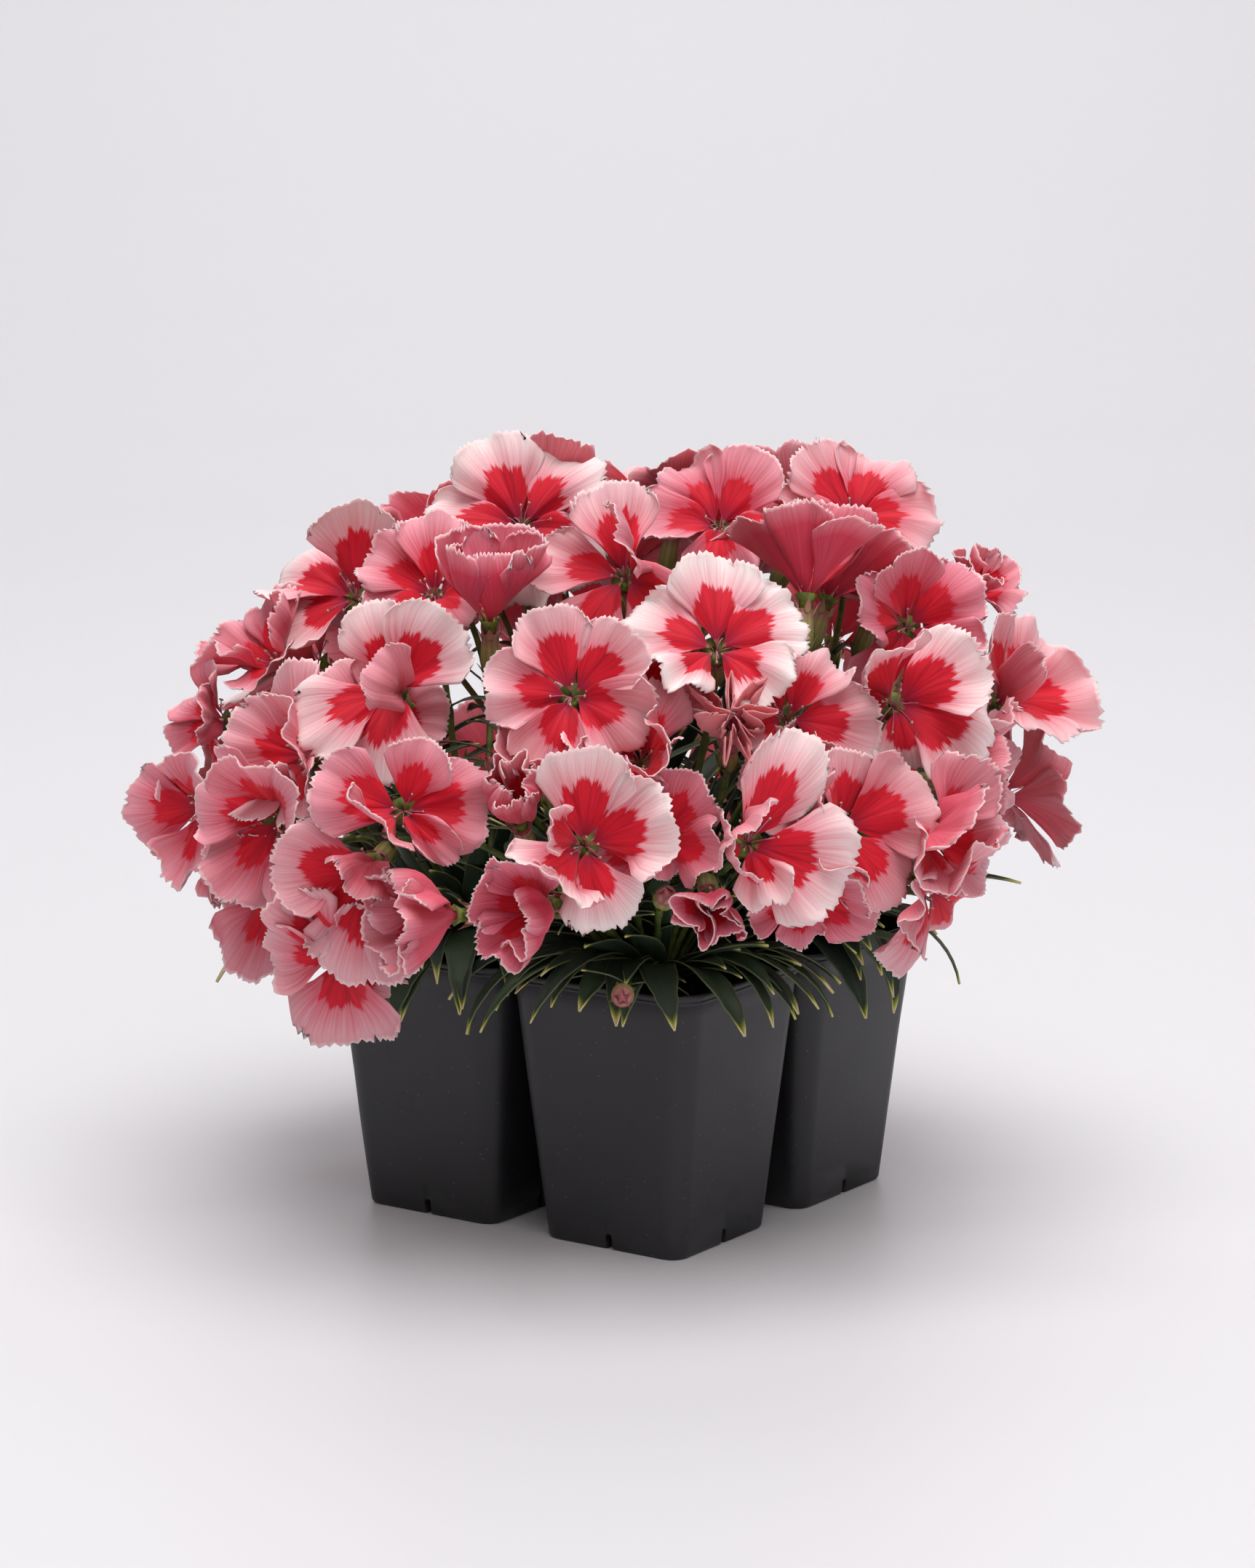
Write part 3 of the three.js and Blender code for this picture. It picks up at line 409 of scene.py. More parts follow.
petalShape = {
    "teeth": 18, "farTeeth": 13,
    "rows": (-0.2, -0.08, 0.02, 0.1, 0.19, 0.29, 0.4, 0.51, 0.62, 0.72, 0.81, 0.89, 0.95, 1.0),
    # degrees to each side of the petal's middle, from its claw to its edge
    "halfTurn": ((-0.2, 11), (0.02, 20), (0.12, 26), (0.25, 29.5), (0.5, 34.5), (0.72, 39),
                 (0.88, 39.5), (1.02, 33)),
    "width": (0.86, 1.05), "stretch": 1.09, "tilt": 5, "bowl": 18, "mostWrap": 1.8,
    "cupped": (15, 40), "bowled": (30, 55),    # lifts between which a petal starts to wrap and to bow
    "knee": 0.45,                  # a tip curls from here on
    "throatRadius": 1.5, "throatEnd": 0.35, "clawDepth": 5.6, "bladeFrom": (0.02, 0.35),
    "joinedSide": (0.4, 1), "joinedUpTo": (0.35, 0.75),    # where it meets the petals beside it
    "edgeFall": 0.15, "edgePower": 2.6, "edgeStray": 0.05,
    "tooth": (0.008, 0.045), "notch": 0.05, "notched": 0.12, "nudge": 0.6,    # notched: share of deep cuts
    "toothRise": ((0.88, 0), (0.95, 0.4), (1.0, 1.0)),
    "tipCurl": ((-50, -12), (-14, 16), (14, 62)), "sideCurl": (-2.5, 5.5), "sidePower": 2.5,
    "waves": ((1.1, 2.3), (3.2, 5.5), (11, 15)),    # half waves across: a ruffle, a ripple and pleats
    "ruffle": (1.0, 3.0), "lean": 0.7, "leanAt": (0.15, 0.6), "twist": 2.0,
    "ripple": 0.5, "rippleAt": (0.5, 1), "pleat": 0.08, "pleatAt": (0.3, 0.9),
    "dents": 1.5, "dentSize": (1.6, 2.2), "dentShift": 40,
    "rib": 0.3, "ribWidth": 0.08, "ribFade": 0.6,
    "thickness": 0.28,
    "wilted": {"stretch": 0.86, "width": 0.55, "crumple": 2.4, "creases": 3.2},
}

# Petals that fold in their own way, by bloom and petal: tip curl, turn and lift in degrees, and the
# curl of their two sides in mm.
petalHabits = {
    0: {0: {"tip": -8, "sides": (1, 2), "turned": 8}, 1: {"tip": 12, "sides": (1.5, 0)},
        2: {"tip": -6, "sides": (-1, 1.5), "longer": 0.96},
        3: {"tip": 10, "sides": (0, 1), "raised": 30, "longer": 0.85, "turned": -6},
        4: {"tip": -10, "sides": (1, -1), "raised": 26, "longer": 0.9, "turned": 12}},
    1: {0: {"tip": 2, "sides": (1, 2.5), "width": 0.86, "longer": 1.1, "pointed": 0.3},
        1: {"tip": 30, "sides": (3, 3), "raised": 35, "longer": 0.85},
        2: {"tip": 40, "sides": (4, 3), "width": 0.95, "raised": 45, "longer": 0.8},
        3: {"tip": 14, "sides": (2, 1), "width": 0.85, "raised": 20, "longer": 0.66, "turned": 16},
        4: {"tip": -6, "sides": (1, -1), "width": 1.2, "turned": -10}},
    2: {0: {"tip": -14, "sides": (-1, 7), "longer": 0.88},
        1: {"tip": 12, "sides": (0, 2), "turned": -14, "longer": 0.8},
        2: {"tip": -22, "sides": (-3, 2), "turned": 18, "raised": 18, "longer": 0.95, "width": 0.9},
        3: {"tip": -30, "sides": (-2, -3), "raised": 28, "longer": 0.88, "width": 1.2},
        4: {"tip": 64, "sides": (1, 2), "width": 0.8, "longer": 0.8}},
    3: {0: {"tip": -6, "sides": (1, -1), "width": 1.12, "longer": 0.88},
        1: {"tip": 10, "sides": (2, 2), "width": 0.95, "longer": 0.74, "turned": -12},
        2: {"tip": -10, "sides": (-2, 0), "turned": 12, "longer": 0.92}, 3: {"tip": 30, "sides": (4, 0)},
        4: {"tip": -14, "sides": (2, 3), "width": 0.68, "turned": 25, "longer": 0.74, "pointed": 0.3}},
    4: {0: {"tip": 18, "sides": (4, 2)}, 1: {"tip": 14, "sides": (3, -2), "width": 0.92},
        2: {"tip": 24, "sides": (1, 6), "width": 0.72}, 3: {"tip": 46, "sides": (3, 2)},
        4: {"tip": -20, "sides": (-3, -4), "width": 0.95, "raised": 42, "longer": 0.85, "turned": -14,
            "pale": 1.0}},
    5: {0: {"tip": -8, "sides": (2, 0), "width": 1.08},
        1: {"tip": 18, "sides": (-1, 2), "longer": 0.8, "turned": -10},
        2: {"tip": 40, "sides": (2, 4), "width": 0.96}, 3: {"tip": 44, "sides": (3, 2), "width": 0.94},
        4: {"tip": -10, "sides": (0, -2), "longer": 0.92}},
    6: {0: {"tip": 14, "sides": (0, 3), "turned": -22, "longer": 0.95},
        1: {"tip": 30, "sides": (5, 2), "width": 0.8, "turned": 13},
        2: {"tip": -16, "sides": (-3, 0), "longer": 0.66},
        3: {"tip": -22, "sides": (1, -3), "turned": 22, "longer": 0.68},
        4: {"tip": -12, "sides": (-2, 2), "width": 1.15, "turned": 4}},
    8: {0: {"tip": 30, "sides": (3, 3), "width": 0.8, "longer": 0.75},
        1: {"tip": 10, "sides": (2, 0), "turned": 42, "longer": 0.85, "raised": -8},
        2: {"tip": 6, "sides": (0, 3), "turned": 18, "raised": 6, "longer": 0.9},
        3: {"tip": -8, "sides": (1, 2), "turned": -10, "raised": 12, "width": 0.95},
        4: {"tip": -12, "sides": (1, 1), "turned": -52, "raised": 24, "width": 0.8, "pointed": 0.4}},
    9: {3: {"turned": -22, "longer": 0.85}, 4: {"turned": 35, "longer": 0.85}},
    12: {0: {"longer": 0.9}, 1: {"longer": 0.8}, 2: {"longer": 0.7}, 3: {"longer": 0.5}},
    15: {0: {"longer": 0.75}, 1: {"turned": 12, "longer": 0.62}, 2: {"turned": -8, "raised": 28},
         3: {"raised": 25, "longer": 0.85}},
    21: {3: {"longer": 0.55}},
    22: {0: {"raised": -30, "longer": 0.6}, 1: {"raised": -20, "longer": 0.8},
         2: {"turned": -25, "longer": 0.72}, 3: {"width": 1.2}, 4: {"turned": -30, "longer": 0.65}},
    23: {3: {"raised": 32, "longer": 1.15}, 4: {"longer": 0.6}},
    26: {"all": {"raised": 18, "longer": 0.85}},
    30: {"all": {"longer": 0.85}},
    33: {3: {"longer": 0.6}},
    35: {"all": {"longer": 0.78}},
    38: {2: {"longer": 0.65}, 3: {"longer": 0.6}, 4: {"longer": 0.85}},
    41: {"all": {"longer": 0.75}},
    42: {"all": {"longer": 0.66}}, 43: {"all": {"longer": 0.66}},
    47: {"all": {"longer": 0.85}},
}


def bentPetal(length, first, last, tipCurl, along):    # a bent midline whose tip curls beyond the knee
    knee = petalShape["knee"]
    if along <= knee:
        return arcLine(length, first, last, along)
    away, height, slope = arcLine(length, first, last, knee)
    tipSlope = lerp(first, last, along) + tipCurl * (along - knee) / (1 - knee)
    further, higher, tipped = arcLine(length * (along - knee), math.degrees(slope), tipSlope, 1)
    return away + further, height + higher, tipped


def addPetal(bm, uvLayer, layers, bloom, index):
    dice = random.Random(bloom["seed"] * 31 + index * 7 + 5)
    shape = petalShape
    wilted = shape["wilted"] if bloom["wilted"] else {}
    count = bloomShape["petals"]
    habits = petalHabits.get(bloom["seed"], {})
    habit = {**habits.get("all", {}), **habits.get(index, {})}
    middle = bloom["spin"] + index * 360 / count + habit.get("turned", 0)
    tilt = dice.uniform(-shape["tilt"], shape["tilt"])
    lift = bloom["lifts"][index] + (habit.get("raised", 0) if habit else tilt)
    before = bloom["lifts"][(index - 1) % count]
    after = bloom["lifts"][(index + 1) % count]
    length = bloom["length"] * wilted.get("stretch", shape["stretch"]) * habit.get("longer", 1)
    rows = shape["rows"]
    columns = 2 * (shape["teeth"] if bloom["edgeSteps"] == bloomShape["edgeSteps"] else shape["farTeeth"])
    width = habit.get("width", dice.uniform(*shape["width"])) * wilted.get("width", 1)
    tipCurl = habit.get("tip", dice.uniform(*dice.choice(shape["tipCurl"])))
    sideCurls = habit.get("sides", [dice.uniform(*shape["sideCurl"]), dice.uniform(*shape["sideCurl"])])
    ruffle = dice.uniform(*shape["ruffle"])
    edgeFall = shape["edgeFall"] + habit.get("pointed", 0)
    crumple, creases = wilted.get("crumple", 1), wilted.get("creases", 1)
    twist = dice.uniform(-shape["twist"], shape["twist"])
    waves = [(dice.uniform(*counts), dice.uniform(*anyAngle)) for counts in shape["waves"]]
    shift = dice.uniform(0, shape["dentShift"])
    toothDepths = []
    for _ in range(columns + 1):
        depth = dice.uniform(*shape["tooth"])
        toothDepths.append(depth + (shape["notch"] if dice.random() < shape["notched"] else 0))
    nudges = [dice.uniform(-shape["nudge"], shape["nudge"]) / columns for _ in range(columns + 1)]
    grid = bmesh.ops.create_grid(bm, x_segments=columns, y_segments=len(rows) - 1, size=1)["verts"]
    faces = {face for vert in grid for face in vert.link_faces}
    half = (bloomShape["arch"] - lift) / 2
    leastLift = min(lift, before, after)
    cupped = smooth(*shape["cupped"], leastLift)
    bowl = shape["bowl"] * smooth(*shape["bowled"], leastLift)
    ruffled, rippled, pleated = waves
    spots = {}
    for vert in grid:
        column = round((vert.co.x + 1) / 2 * columns)
        row = round((vert.co.y + 1) / 2 * (len(rows) - 1))
        v = rows[row]
        u = vert.co.x + (nudges[column] if 0 < column < columns else 0)
        spots[vert] = (u, v)
        # the edge is toothed, and the sides meet those of the petals beside it near the throat
        toSide = smooth(*shape["joinedSide"], abs(u)) * (1 - smooth(*shape["joinedUpTo"], v))
        shared = ((after if u > 0 else before) - lift) / 2 * toSide
        edge = 1 - edgeFall * abs(u) ** shape["edgePower"]
        edge += shape["edgeStray"] * noise.noise(Vector((u * 1.3, shift, 0)))
        tooth = toothDepths[column] if column % 2 == 0 else 0
        tooth *= alongStops(shape["toothRise"], v) if v > shape["toothRise"][0][0] else 0
        along = max(v, 0) * edge - tooth
        first, last = lift + shared + half - bowl, lift + shared - half + bowl
        # how far the blade stands proud of its bent sheet
        blade = smooth(*shape["bladeFrom"], v)
        proud = shape["lean"] * u * smooth(*shape["leanAt"], v) + twist * u * v
        proud += ruffle * v * v * math.sin(math.pi * u * ruffled[0] + ruffled[1]) * blade * crumple
        ripple = math.sin(math.pi * u * rippled[0] + rippled[1])
        proud += shape["ripple"] * smooth(*shape["rippleAt"], v) * ripple * crumple
        pleat = math.sin(math.pi * u * pleated[0] + pleated[1])
        proud += shape["pleat"] * smooth(*shape["pleatAt"], v) * pleat
        proud += sideCurls[0 if u < 0 else 1] * abs(u) ** shape["sidePower"] * v * blade
        across, outward = shape["dentSize"]
        dent = noise.noise(Vector((u * across * creases + shift, v * outward * creases, shift)))
        proud += shape["dents"] * v * blade * crumple * dent
        rib = math.exp(-(u / shape["ribWidth"]) ** 2)
        proud -= shape["rib"] * rib * blade * (1 - v * shape["ribFade"])
        # a cupped petal wraps round the bloom's axis, and an open one lies as a flat panel
        turn = u * alongStops(shape["halfTurn"], v) * width
        spread = shape["throatRadius"] * (1 - smooth(0, shape["throatEnd"], v))
        away, height, slope = bentPetal(length, first, last, tipCurl, along)
        wrap = min(max(along * length / max(away, 0.1), 1), shape["mostWrap"])
        asCone = bloomSpot(bloom, middle + turn * wrap, away + spread - proud * math.sin(slope),
                           height + proud * math.cos(slope))
        away, height, slope = bentPetal(length, first, last, tipCurl, along * math.cos(rad(turn)))
        asPanel = bloomSpot(bloom, middle, away + spread - proud * math.sin(slope),
                            height + proud * math.cos(slope))
        asPanel += bloomSpot(bloom, middle + 90, along * length * math.sin(rad(turn)), 0) - bloom["throat"]
        vert.co = asPanel.lerp(asCone, cupped)
        if v < 0:
            vert.co -= bloom["out"] * shape["clawDepth"] * (v / rows[0])
        vert[layers["pale"]] = habit.get("pale", bloom["pale"])
        vert[layers["tone"]] = shift / shape["dentShift"]
        vert[layers["wilt"]] = 1.0 if bloom["wilted"] else 0.0
    for face in faces:
        for loop in face.loops:
            u, v = spots[loop.vert]
            loop[uvLayer].uv = ((u + 1) / 2, max(v, 0))
    bmesh.ops.reverse_faces(bm, faces=list(faces))


petalColours = {
    "blotch": "#d81a30", "blotchDeep": "#b00c24", "vein": "#780a20", "throat": "#9c2444", "star": "#b7a96a",
    "pinkInner": "#c8344f", "pinkOuter": "#e07f92", "paleInner": "#eb8c9a", "paleOuter": "#fbe2e0",
    "rim": "#f7d8d6",
    # the deepest outside colour serves twice: the real colour of the outside's veins, and painted shade
    # towards the claw
    "back": "#d5455e", "backEdge": "#e8909e", "backVeinAndClawShade": "#a01c36", "backPale": "#e9a5ae",
    "wilt": "#e08c90", "wiltDark": "#a83248",
}


def petalParts(tree):    # what both faces of a petal are painted by
    uv = addNode(tree, "UVMap", {"uv_map": "petal"})
    split = addNode(tree, "SeparateXYZ", links={0: uv})
    pale = addNode(tree, "Attribute", {"attribute_name": "pale"})
    tone = addNode(tree, "Attribute", {"attribute_name": "tone"})
    wilt = addNode(tree, "Attribute", {"attribute_name": "wilt"})
    far = addNode(tree, "Math", {"operation": "MULTIPLY", 1: petalShape["dentShift"]}, {0: tone})
    outward = addNode(tree, "Math", {"operation": "MULTIPLY", 1: 1.1}, {0: split.outputs[1]})
    noises = []
    for across, detail in ((17.0, 4.0), (56.0, 2.0)):    # flames about 3 mm wide, and fine veins
        wide = addNode(tree, "Math", {"operation": "MULTIPLY", 1: across}, {0: split.outputs[0]})
        place = addNode(tree, "CombineXYZ", links={0: wide, 1: outward, 2: far})
        noises.append(addNode(tree, "TexNoise", {"Scale": 1.0, "Detail": detail, "Roughness": 0.6},
                              {"Vector": place}))
    # thin dark lines run out from the claw where the fine noise crosses its middle
    off = addNode(tree, "Math", {"operation": "SUBTRACT", 1: 0.5}, {0: noises[1]})
    width = addNode(tree, "Math", {"operation": "ABSOLUTE"}, {0: off})
    line = addNode(tree, "MapRange", {"From Min": 0.035, "From Max": 0.0}, {"Value": width})
    return {"u": split.outputs[0], "v": split.outputs[1], "pale": pale,
            "tone": tone, "wilt": wilt, "streak": noises[0],
            "vein": noises[1], "line": line}


def petalShader(tree, colour, parts):
    bump = addNode(tree, "Bump", {"Strength": 0.3, "Distance": 0.2 * mm}, {"Height": parts["vein"]})
    return addNode(tree, "BsdfPrincipled",
                   {"Roughness": 0.6, "IOR": 1.4, "Specular IOR Level": 0.25, "Subsurface Weight": 0.35,
                    "Subsurface Radius": (1.0, 0.28, 0.32), "Subsurface Scale": 1.2 * mm,
                    "Sheen Weight": 0.12, "Sheen Roughness": 0.5},
                   {"Base Color": colour, "Normal": bump})


def petalFace():    # the inside of a petal: matte living tissue, pale with a red blotch that ends in flames
    c = petalColours
    material, tree = newMaterial("petalTissueInside")
    p = petalParts(tree)
    offMiddle = addNode(tree, "Math", {"operation": "SUBTRACT", 1: 0.5}, {0: p["u"]})
    bow = addNode(tree, "Math", {"operation": "MULTIPLY"}, {0: offMiddle, 1: offMiddle})
    bowed = addNode(tree, "Math", {"operation": "MULTIPLY_ADD", 1: 0.95}, {0: bow, 2: p["v"]})
    flames = addNode(tree, "Math", {"operation": "MULTIPLY_ADD", 1: -0.4, 2: 0.2}, {0: p["streak"]})
    flamed = addNode(tree, "Math", {"operation": "ADD"}, {0: bowed, 1: flames})
    size = addNode(tree, "Math", {"operation": "MULTIPLY_ADD", 1: 0.1, 2: -0.05}, {0: p["tone"]})
    sized = addNode(tree, "Math", {"operation": "ADD"}, {0: flamed, 1: size})
    outside = addNode(tree, "MapRange", {"interpolation_type": "SMOOTHSTEP", "From Min": 0.61,
                      "From Max": 0.67}, {"Value": sized})
    blotch = addNode(tree, "ValToRGB", {"stops": [(0.3, c["blotchDeep"]), (0.55, c["blotch"])]},
                     {"Fac": p["streak"]})
    blotchLine = addNode(tree, "Math", {"operation": "MULTIPLY", 1: 0.4}, {0: p["line"]})
    blotchVeined = addNode(tree, "Mix", {"data_type": "RGBA", "B": c["vein"]},
                           {"Factor": blotchLine, "A": blotch})
    heart = addNode(tree, "MapRange", {"From Min": 0.34, "From Max": 0.08, "To Max": 0.85},
                    {"Value": p["v"]})
    throat = addNode(tree, "Mix", {"data_type": "RGBA", "B": c["throat"]},
                     {"Factor": heart, "A": blotchVeined})
    starAt = addNode(tree, "MapRange", {"From Min": 0.075, "From Max": 0.01}, {"Value": p["v"]})
    star = addNode(tree, "Mix", {"data_type": "RGBA", "B": c["star"]}, {"Factor": starAt, "A": throat})
    outward = addNode(tree, "MapRange", {"From Min": 0.52, "From Max": 0.92}, {"Value": p["v"]})
    uneven = addNode(tree, "Math", {"operation": "MULTIPLY_ADD", 1: 1.3, 2: -0.65}, {0: p["vein"]})
    fade = addNode(tree, "Math", {"operation": "ADD", "use_clamp": True}, {0: outward, 1: uneven})
    pink = addNode(tree, "Mix", {"data_type": "RGBA", "A": c["pinkInner"], "B": c["pinkOuter"]},
                   {"Factor": fade})
    paler = addNode(tree, "Mix", {"data_type": "RGBA", "A": c["paleInner"], "B": c["paleOuter"]},
                    {"Factor": fade})
    blade = addNode(tree, "Mix", {"data_type": "RGBA"}, {"Factor": p["pale"], "A": pink, "B": paler})
    rimAt = addNode(tree, "MapRange", {"From Min": 0.955, "From Max": 0.99, "To Max": 0.8},
                    {"Value": p["v"]})
    rimmed = addNode(tree, "Mix", {"data_type": "RGBA", "B": c["rim"]}, {"Factor": rimAt, "A": blade})
    living = addNode(tree, "Mix", {"data_type": "RGBA"}, {"Factor": outside, "A": star, "B": rimmed})
    dry = addNode(tree, "Mix", {"data_type": "RGBA", "A": c["wiltDark"], "B": c["wilt"]},
                  {"Factor": outward})
    colour = addNode(tree, "Mix", {"data_type": "RGBA"}, {"Factor": p["wilt"], "A": living, "B": dry})
    closeMaterial(tree, petalShader(tree, colour, p))
    return material


def petalBack():    # the outside of a petal: duller rose, darkened towards the claw as painted shade, with a pale fringe
    c = petalColours
    material, tree = newMaterial("petalTissueOutside")
    p = petalParts(tree)
    # painted shade: this ramp darkens the outside to deep rose towards the claw, where the petal's base
    # lies in shade
    base = addNode(tree, "ValToRGB",
                   {"stops": [(0.0, c["backVeinAndClawShade"]), (0.25, c["back"]), (0.75, c["back"]),
                              (0.96, c["backEdge"]), (1.0, c["rim"])]}, {"Fac": p["v"]})
    lighter = addNode(tree, "Math", {"operation": "MULTIPLY"}, {0: p["pale"], 1: p["v"]})
    paled = addNode(tree, "Mix", {"data_type": "RGBA", "B": c["backPale"]}, {"Factor": lighter, "A": base})
    streaked = addNode(tree, "MapRange", {"From Min": 0.35, "From Max": 0.6, "To Min": 0.3, "To Max": 0.0},
                       {"Value": p["vein"]})
    # the same deep rose drawn as fine veins: the petal's own colour, not shade
    veined = addNode(tree, "Mix", {"data_type": "RGBA", "B": c["backVeinAndClawShade"]},
                     {"Factor": streaked, "A": paled})
    colour = addNode(tree, "Mix", {"data_type": "RGBA", "B": c["wilt"]}, {"Factor": p["wilt"], "A": veined})
    closeMaterial(tree, petalShader(tree, colour, p))
    return material


def softTissue(name, stops, mottle, roughness):    # stems, stamens and throats: smooth, faintly mottled
    material, tree = newMaterial(name)
    place = addNode(tree, "TexCoord")
    grain = addNode(tree, "TexNoise", {"Scale": perMetre(mottle), "Detail": 3.0},
                    {"Vector": place.outputs["Object"]})
    ramp = addNode(tree, "ValToRGB", {"stops": stops}, {"Fac": grain})
    shader = addNode(tree, "BsdfPrincipled",
                     {"Roughness": roughness, "IOR": 1.4, "Subsurface Weight": 0.1, "Subsurface Scale": mm},
                     {"Base Color": ramp})
    closeMaterial(tree, shader)
    return material


petalFaceMaterial = petalFace()
petalBackMaterial = petalBack()
filamentMaterial = softTissue("filamentTissue", [(0.3, "#a8405f"), (0.7, "#cf8398")], 3.333, 0.5)
antherMaterial = softTissue("antherPollen", [(0.3, "#a8907c"), (0.7, "#dcc8b4")], 1.111, 0.8)
throatMaterial = softTissue("throatTissue", [(0.3, "#3d4a1c"), (0.7, "#7f9138")], 2.5, 0.6)

heartShape = {
    "stamens": (4, 9), "length": (5.5, 10.0), "filament": 0.17, "anther": 0.42, "antherLength": 0.85,
    "rootDepth": 2.5, "rootRadius": 0.4, "lean": (0.3, 1.1), "droop": 0.45, "turnStray": 25,
    "style": 0.3, "styleLength": 6.5, "styleSteps": 12, "styles": 2,
    "curl": 5.4, "curlRadius": 1.0, "fallBack": 2.0, "swing": 2.4, "styleRadius": 0.3, "thinning": 0.05,
    "depths": (5.6, 2.4, 0.6, 1.2), "tube": (1.7, 1.9), "funnel": (4.4, 2.0), "pit": 0.3, "sides": 12,
}


def addHeart(bm, bloom):    # the green throat, its stamens with their anthers, and two curled styles
    dice = random.Random(bloom["seed"] * 17 + 3)
    shape = heartShape
    out, across, up, throat = bloom["out"], bloom["across"], bloom["up"], bloom["throat"]
    openness = min(max(sum(bloom["lifts"]) / bloomShape["petals"] / 90, 0.0), 0.8)
    funnel = lerp(*shape["funnel"], openness)
    path = [throat - out * depth for depth in shape["depths"]]
    sweepTube(bm, path, [*shape["tube"], funnel, shape["pit"]], shape["sides"], 2)
    stamens = dice.randint(*shape["stamens"])
    for i in range(stamens):
        around = rad(i * 360 / stamens + dice.uniform(-shape["turnStray"], shape["turnStray"]))
        side = across * math.cos(around) + up * math.sin(around)
        length = dice.uniform(*shape["length"])
        lean = dice.uniform(*shape["lean"]) * (1 - openness)
        root = throat - out * shape["rootDepth"]
        path = [root + side * (shape["rootRadius"] + lean * length * t * t)
                + out * length * t * (1 - shape["droop"] * lean * t) for t in (0, 0.2, 0.4, 0.6, 0.8, 1.0)]
        sweepTube(bm, path, [shape["filament"]] * len(path), 4, 0)
        pollen = bmesh.ops.create_icosphere(bm, subdivisions=1, radius=shape["anther"])["verts"]
        turned = Matrix.Rotation(dice.uniform(*anyAngle), 4, out)
        turned = turned @ out.to_track_quat("X", "Z").to_matrix().to_4x4()
        stretched = Matrix.Diagonal((shape["antherLength"] / shape["anther"], 1, 0.9, 1))
        bmesh.ops.transform(bm, matrix=Matrix.Translation(path[-1]) @ turned @ stretched, verts=pollen)
        for face in {face for vert in pollen for face in vert.link_faces}:
            face.material_index = 1
    steps = shape["styleSteps"]
    for i in range(shape["styles"]):
        around = rad(dice.uniform(0, 360))
        side = across * math.cos(around) + up * math.sin(around)
        path = []
        for step in range(steps):
            t = step / (steps - 1)
            curl = t * t * shape["curl"]
            ahead = shape["styleLength"] * t - shape["rootDepth"] + shape["curlRadius"] * math.sin(curl)
            ahead -= shape["fallBack"] * t * t
            aside = shape["styleRadius"] + shape["swing"] * t * t
            aside += shape["curlRadius"] * (1 - math.cos(curl)) * t
            path.append(throat + out * ahead + side * aside)
        radii = [shape["style"] * (1 - shape["thinning"] * k) for k in range(steps)]
        sweepTube(bm, path, radii, 5, 0)


def makeBlooms():
    for node in bloomNodes:
        bm = bmesh.new()
        uvLayer = bm.loops.layers.uv.new("petal")
        layers = {key: bm.verts.layers.float.new(key) for key in ("pale", "tone", "wilt")}
        hearts = bmesh.new()
        for bloom in blooms:
            if bloom["node"] != node:
                continue
            for index in range(bloomShape["petals"]):
                addPetal(bm, uvLayer, layers, bloom, index)
            if not bloom["wilted"]:
                addHeart(hearts, bloom)
        finishPiece(node + "_petals", bm, [petalFaceMaterial, petalBackMaterial], [node],
                    petalShape["thickness"], 1)
        if len(hearts.verts):
            finishPiece(node + "_stamens", hearts, [filamentMaterial, antherMaterial, throatMaterial])
        else:
            hearts.free()


makeBlooms()
print("blooms made")


packShape = {
    "pitch": 62.3, "height": 76, "topHalf": 30.85, "footHalf": 22.6, "topCorner": 9.5, "footCorner": 5,
    "wall": 0.9, "floor": 1.0, "rimBand": 3, "rimProud": 0.5, "web": 5, "webDepth": 1, "webSides": 24,
    "slotHalf": 1.1, "slotHeight": 4.4, "slotDepth": 4, "slotInside": 0.7,
    "footEdge": ((0, 1.1), (0.25, 0.35), (0.9, 0)),    # heights and insets up the rounded foot
    # heights from the top and insets of the rim's band, which has a fine groove round it
    "rimEdge": ((-2.85, 0), (-1.9, 0), (-1.7, 0.22), (-1.5, 0), (-0.25, 0), (0, 0.25)),
    "wallFoot": 4.6, "wallInside": 6, "wallRings": 12,
    "buckle": 0.35, "buckleSize": (0.05, 0.05, 0.035), "buckleFrom": (2, 12), "buckleUpTo": (66, 72),
}
halfPitch = packShape["pitch"] / 2
cells = [("front", Vector((halfPitch, -halfPitch, 0))), ("left", Vector((-halfPitch, -halfPitch, 0))),
         ("right", Vector((halfPitch, halfPitch, 0))), ("back", Vector((-halfPitch, halfPitch, 0)))]

stemShape = {
    "radius": 1.2, "segments": 4, "sunk": 5, "lean": 0.2, "climb": 0.25, "approach": 0.35,
    "sways": (0, 8, 16, -8, 24), "slips": (0, 9, -9, 18, -18),
    "crownTop": 73, "crownFan": 5, "leafDepth": 2,
    "calyxLength": 13, "mouth": 2.4, "seat": 4.8,
    "budLength": 11, "budRadius": 3.2, "budTilt": 15,
    "calyxSpread": 1.3, "budCalyx": 0.8, "budMouth": 2.7, "budSpread": -1.7,
    "budRises": (0.5, 0.8, 0.93, 1.0), "budRadii": (2.5, 2.3, 1.3, 0.4),
    "steps": 18, "thickness": 0.95, "joints": (8, 13), "jointSwell": 0.4, "neck": 1.1, "sides": 7,
    "crownFoot": 58, "crownRises": (0, 8, 14), "crownRadii": (7, 6, 3.5), "crownSides": 12,
    "budSides": 10, "budShades": (0.85, 0.9, 0.95, 1.0), "weakScore": 5,
}
budRows = [(-58, 8, 108), (-56, -8, 104), (-49, 7, 100), (-79, 27, 100)]    # bearing, rise and reach
greensTrees = [treeOf([rowToPlant @ vert.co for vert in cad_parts["greens_" + name].data.vertices])
               for name, _ in cells]


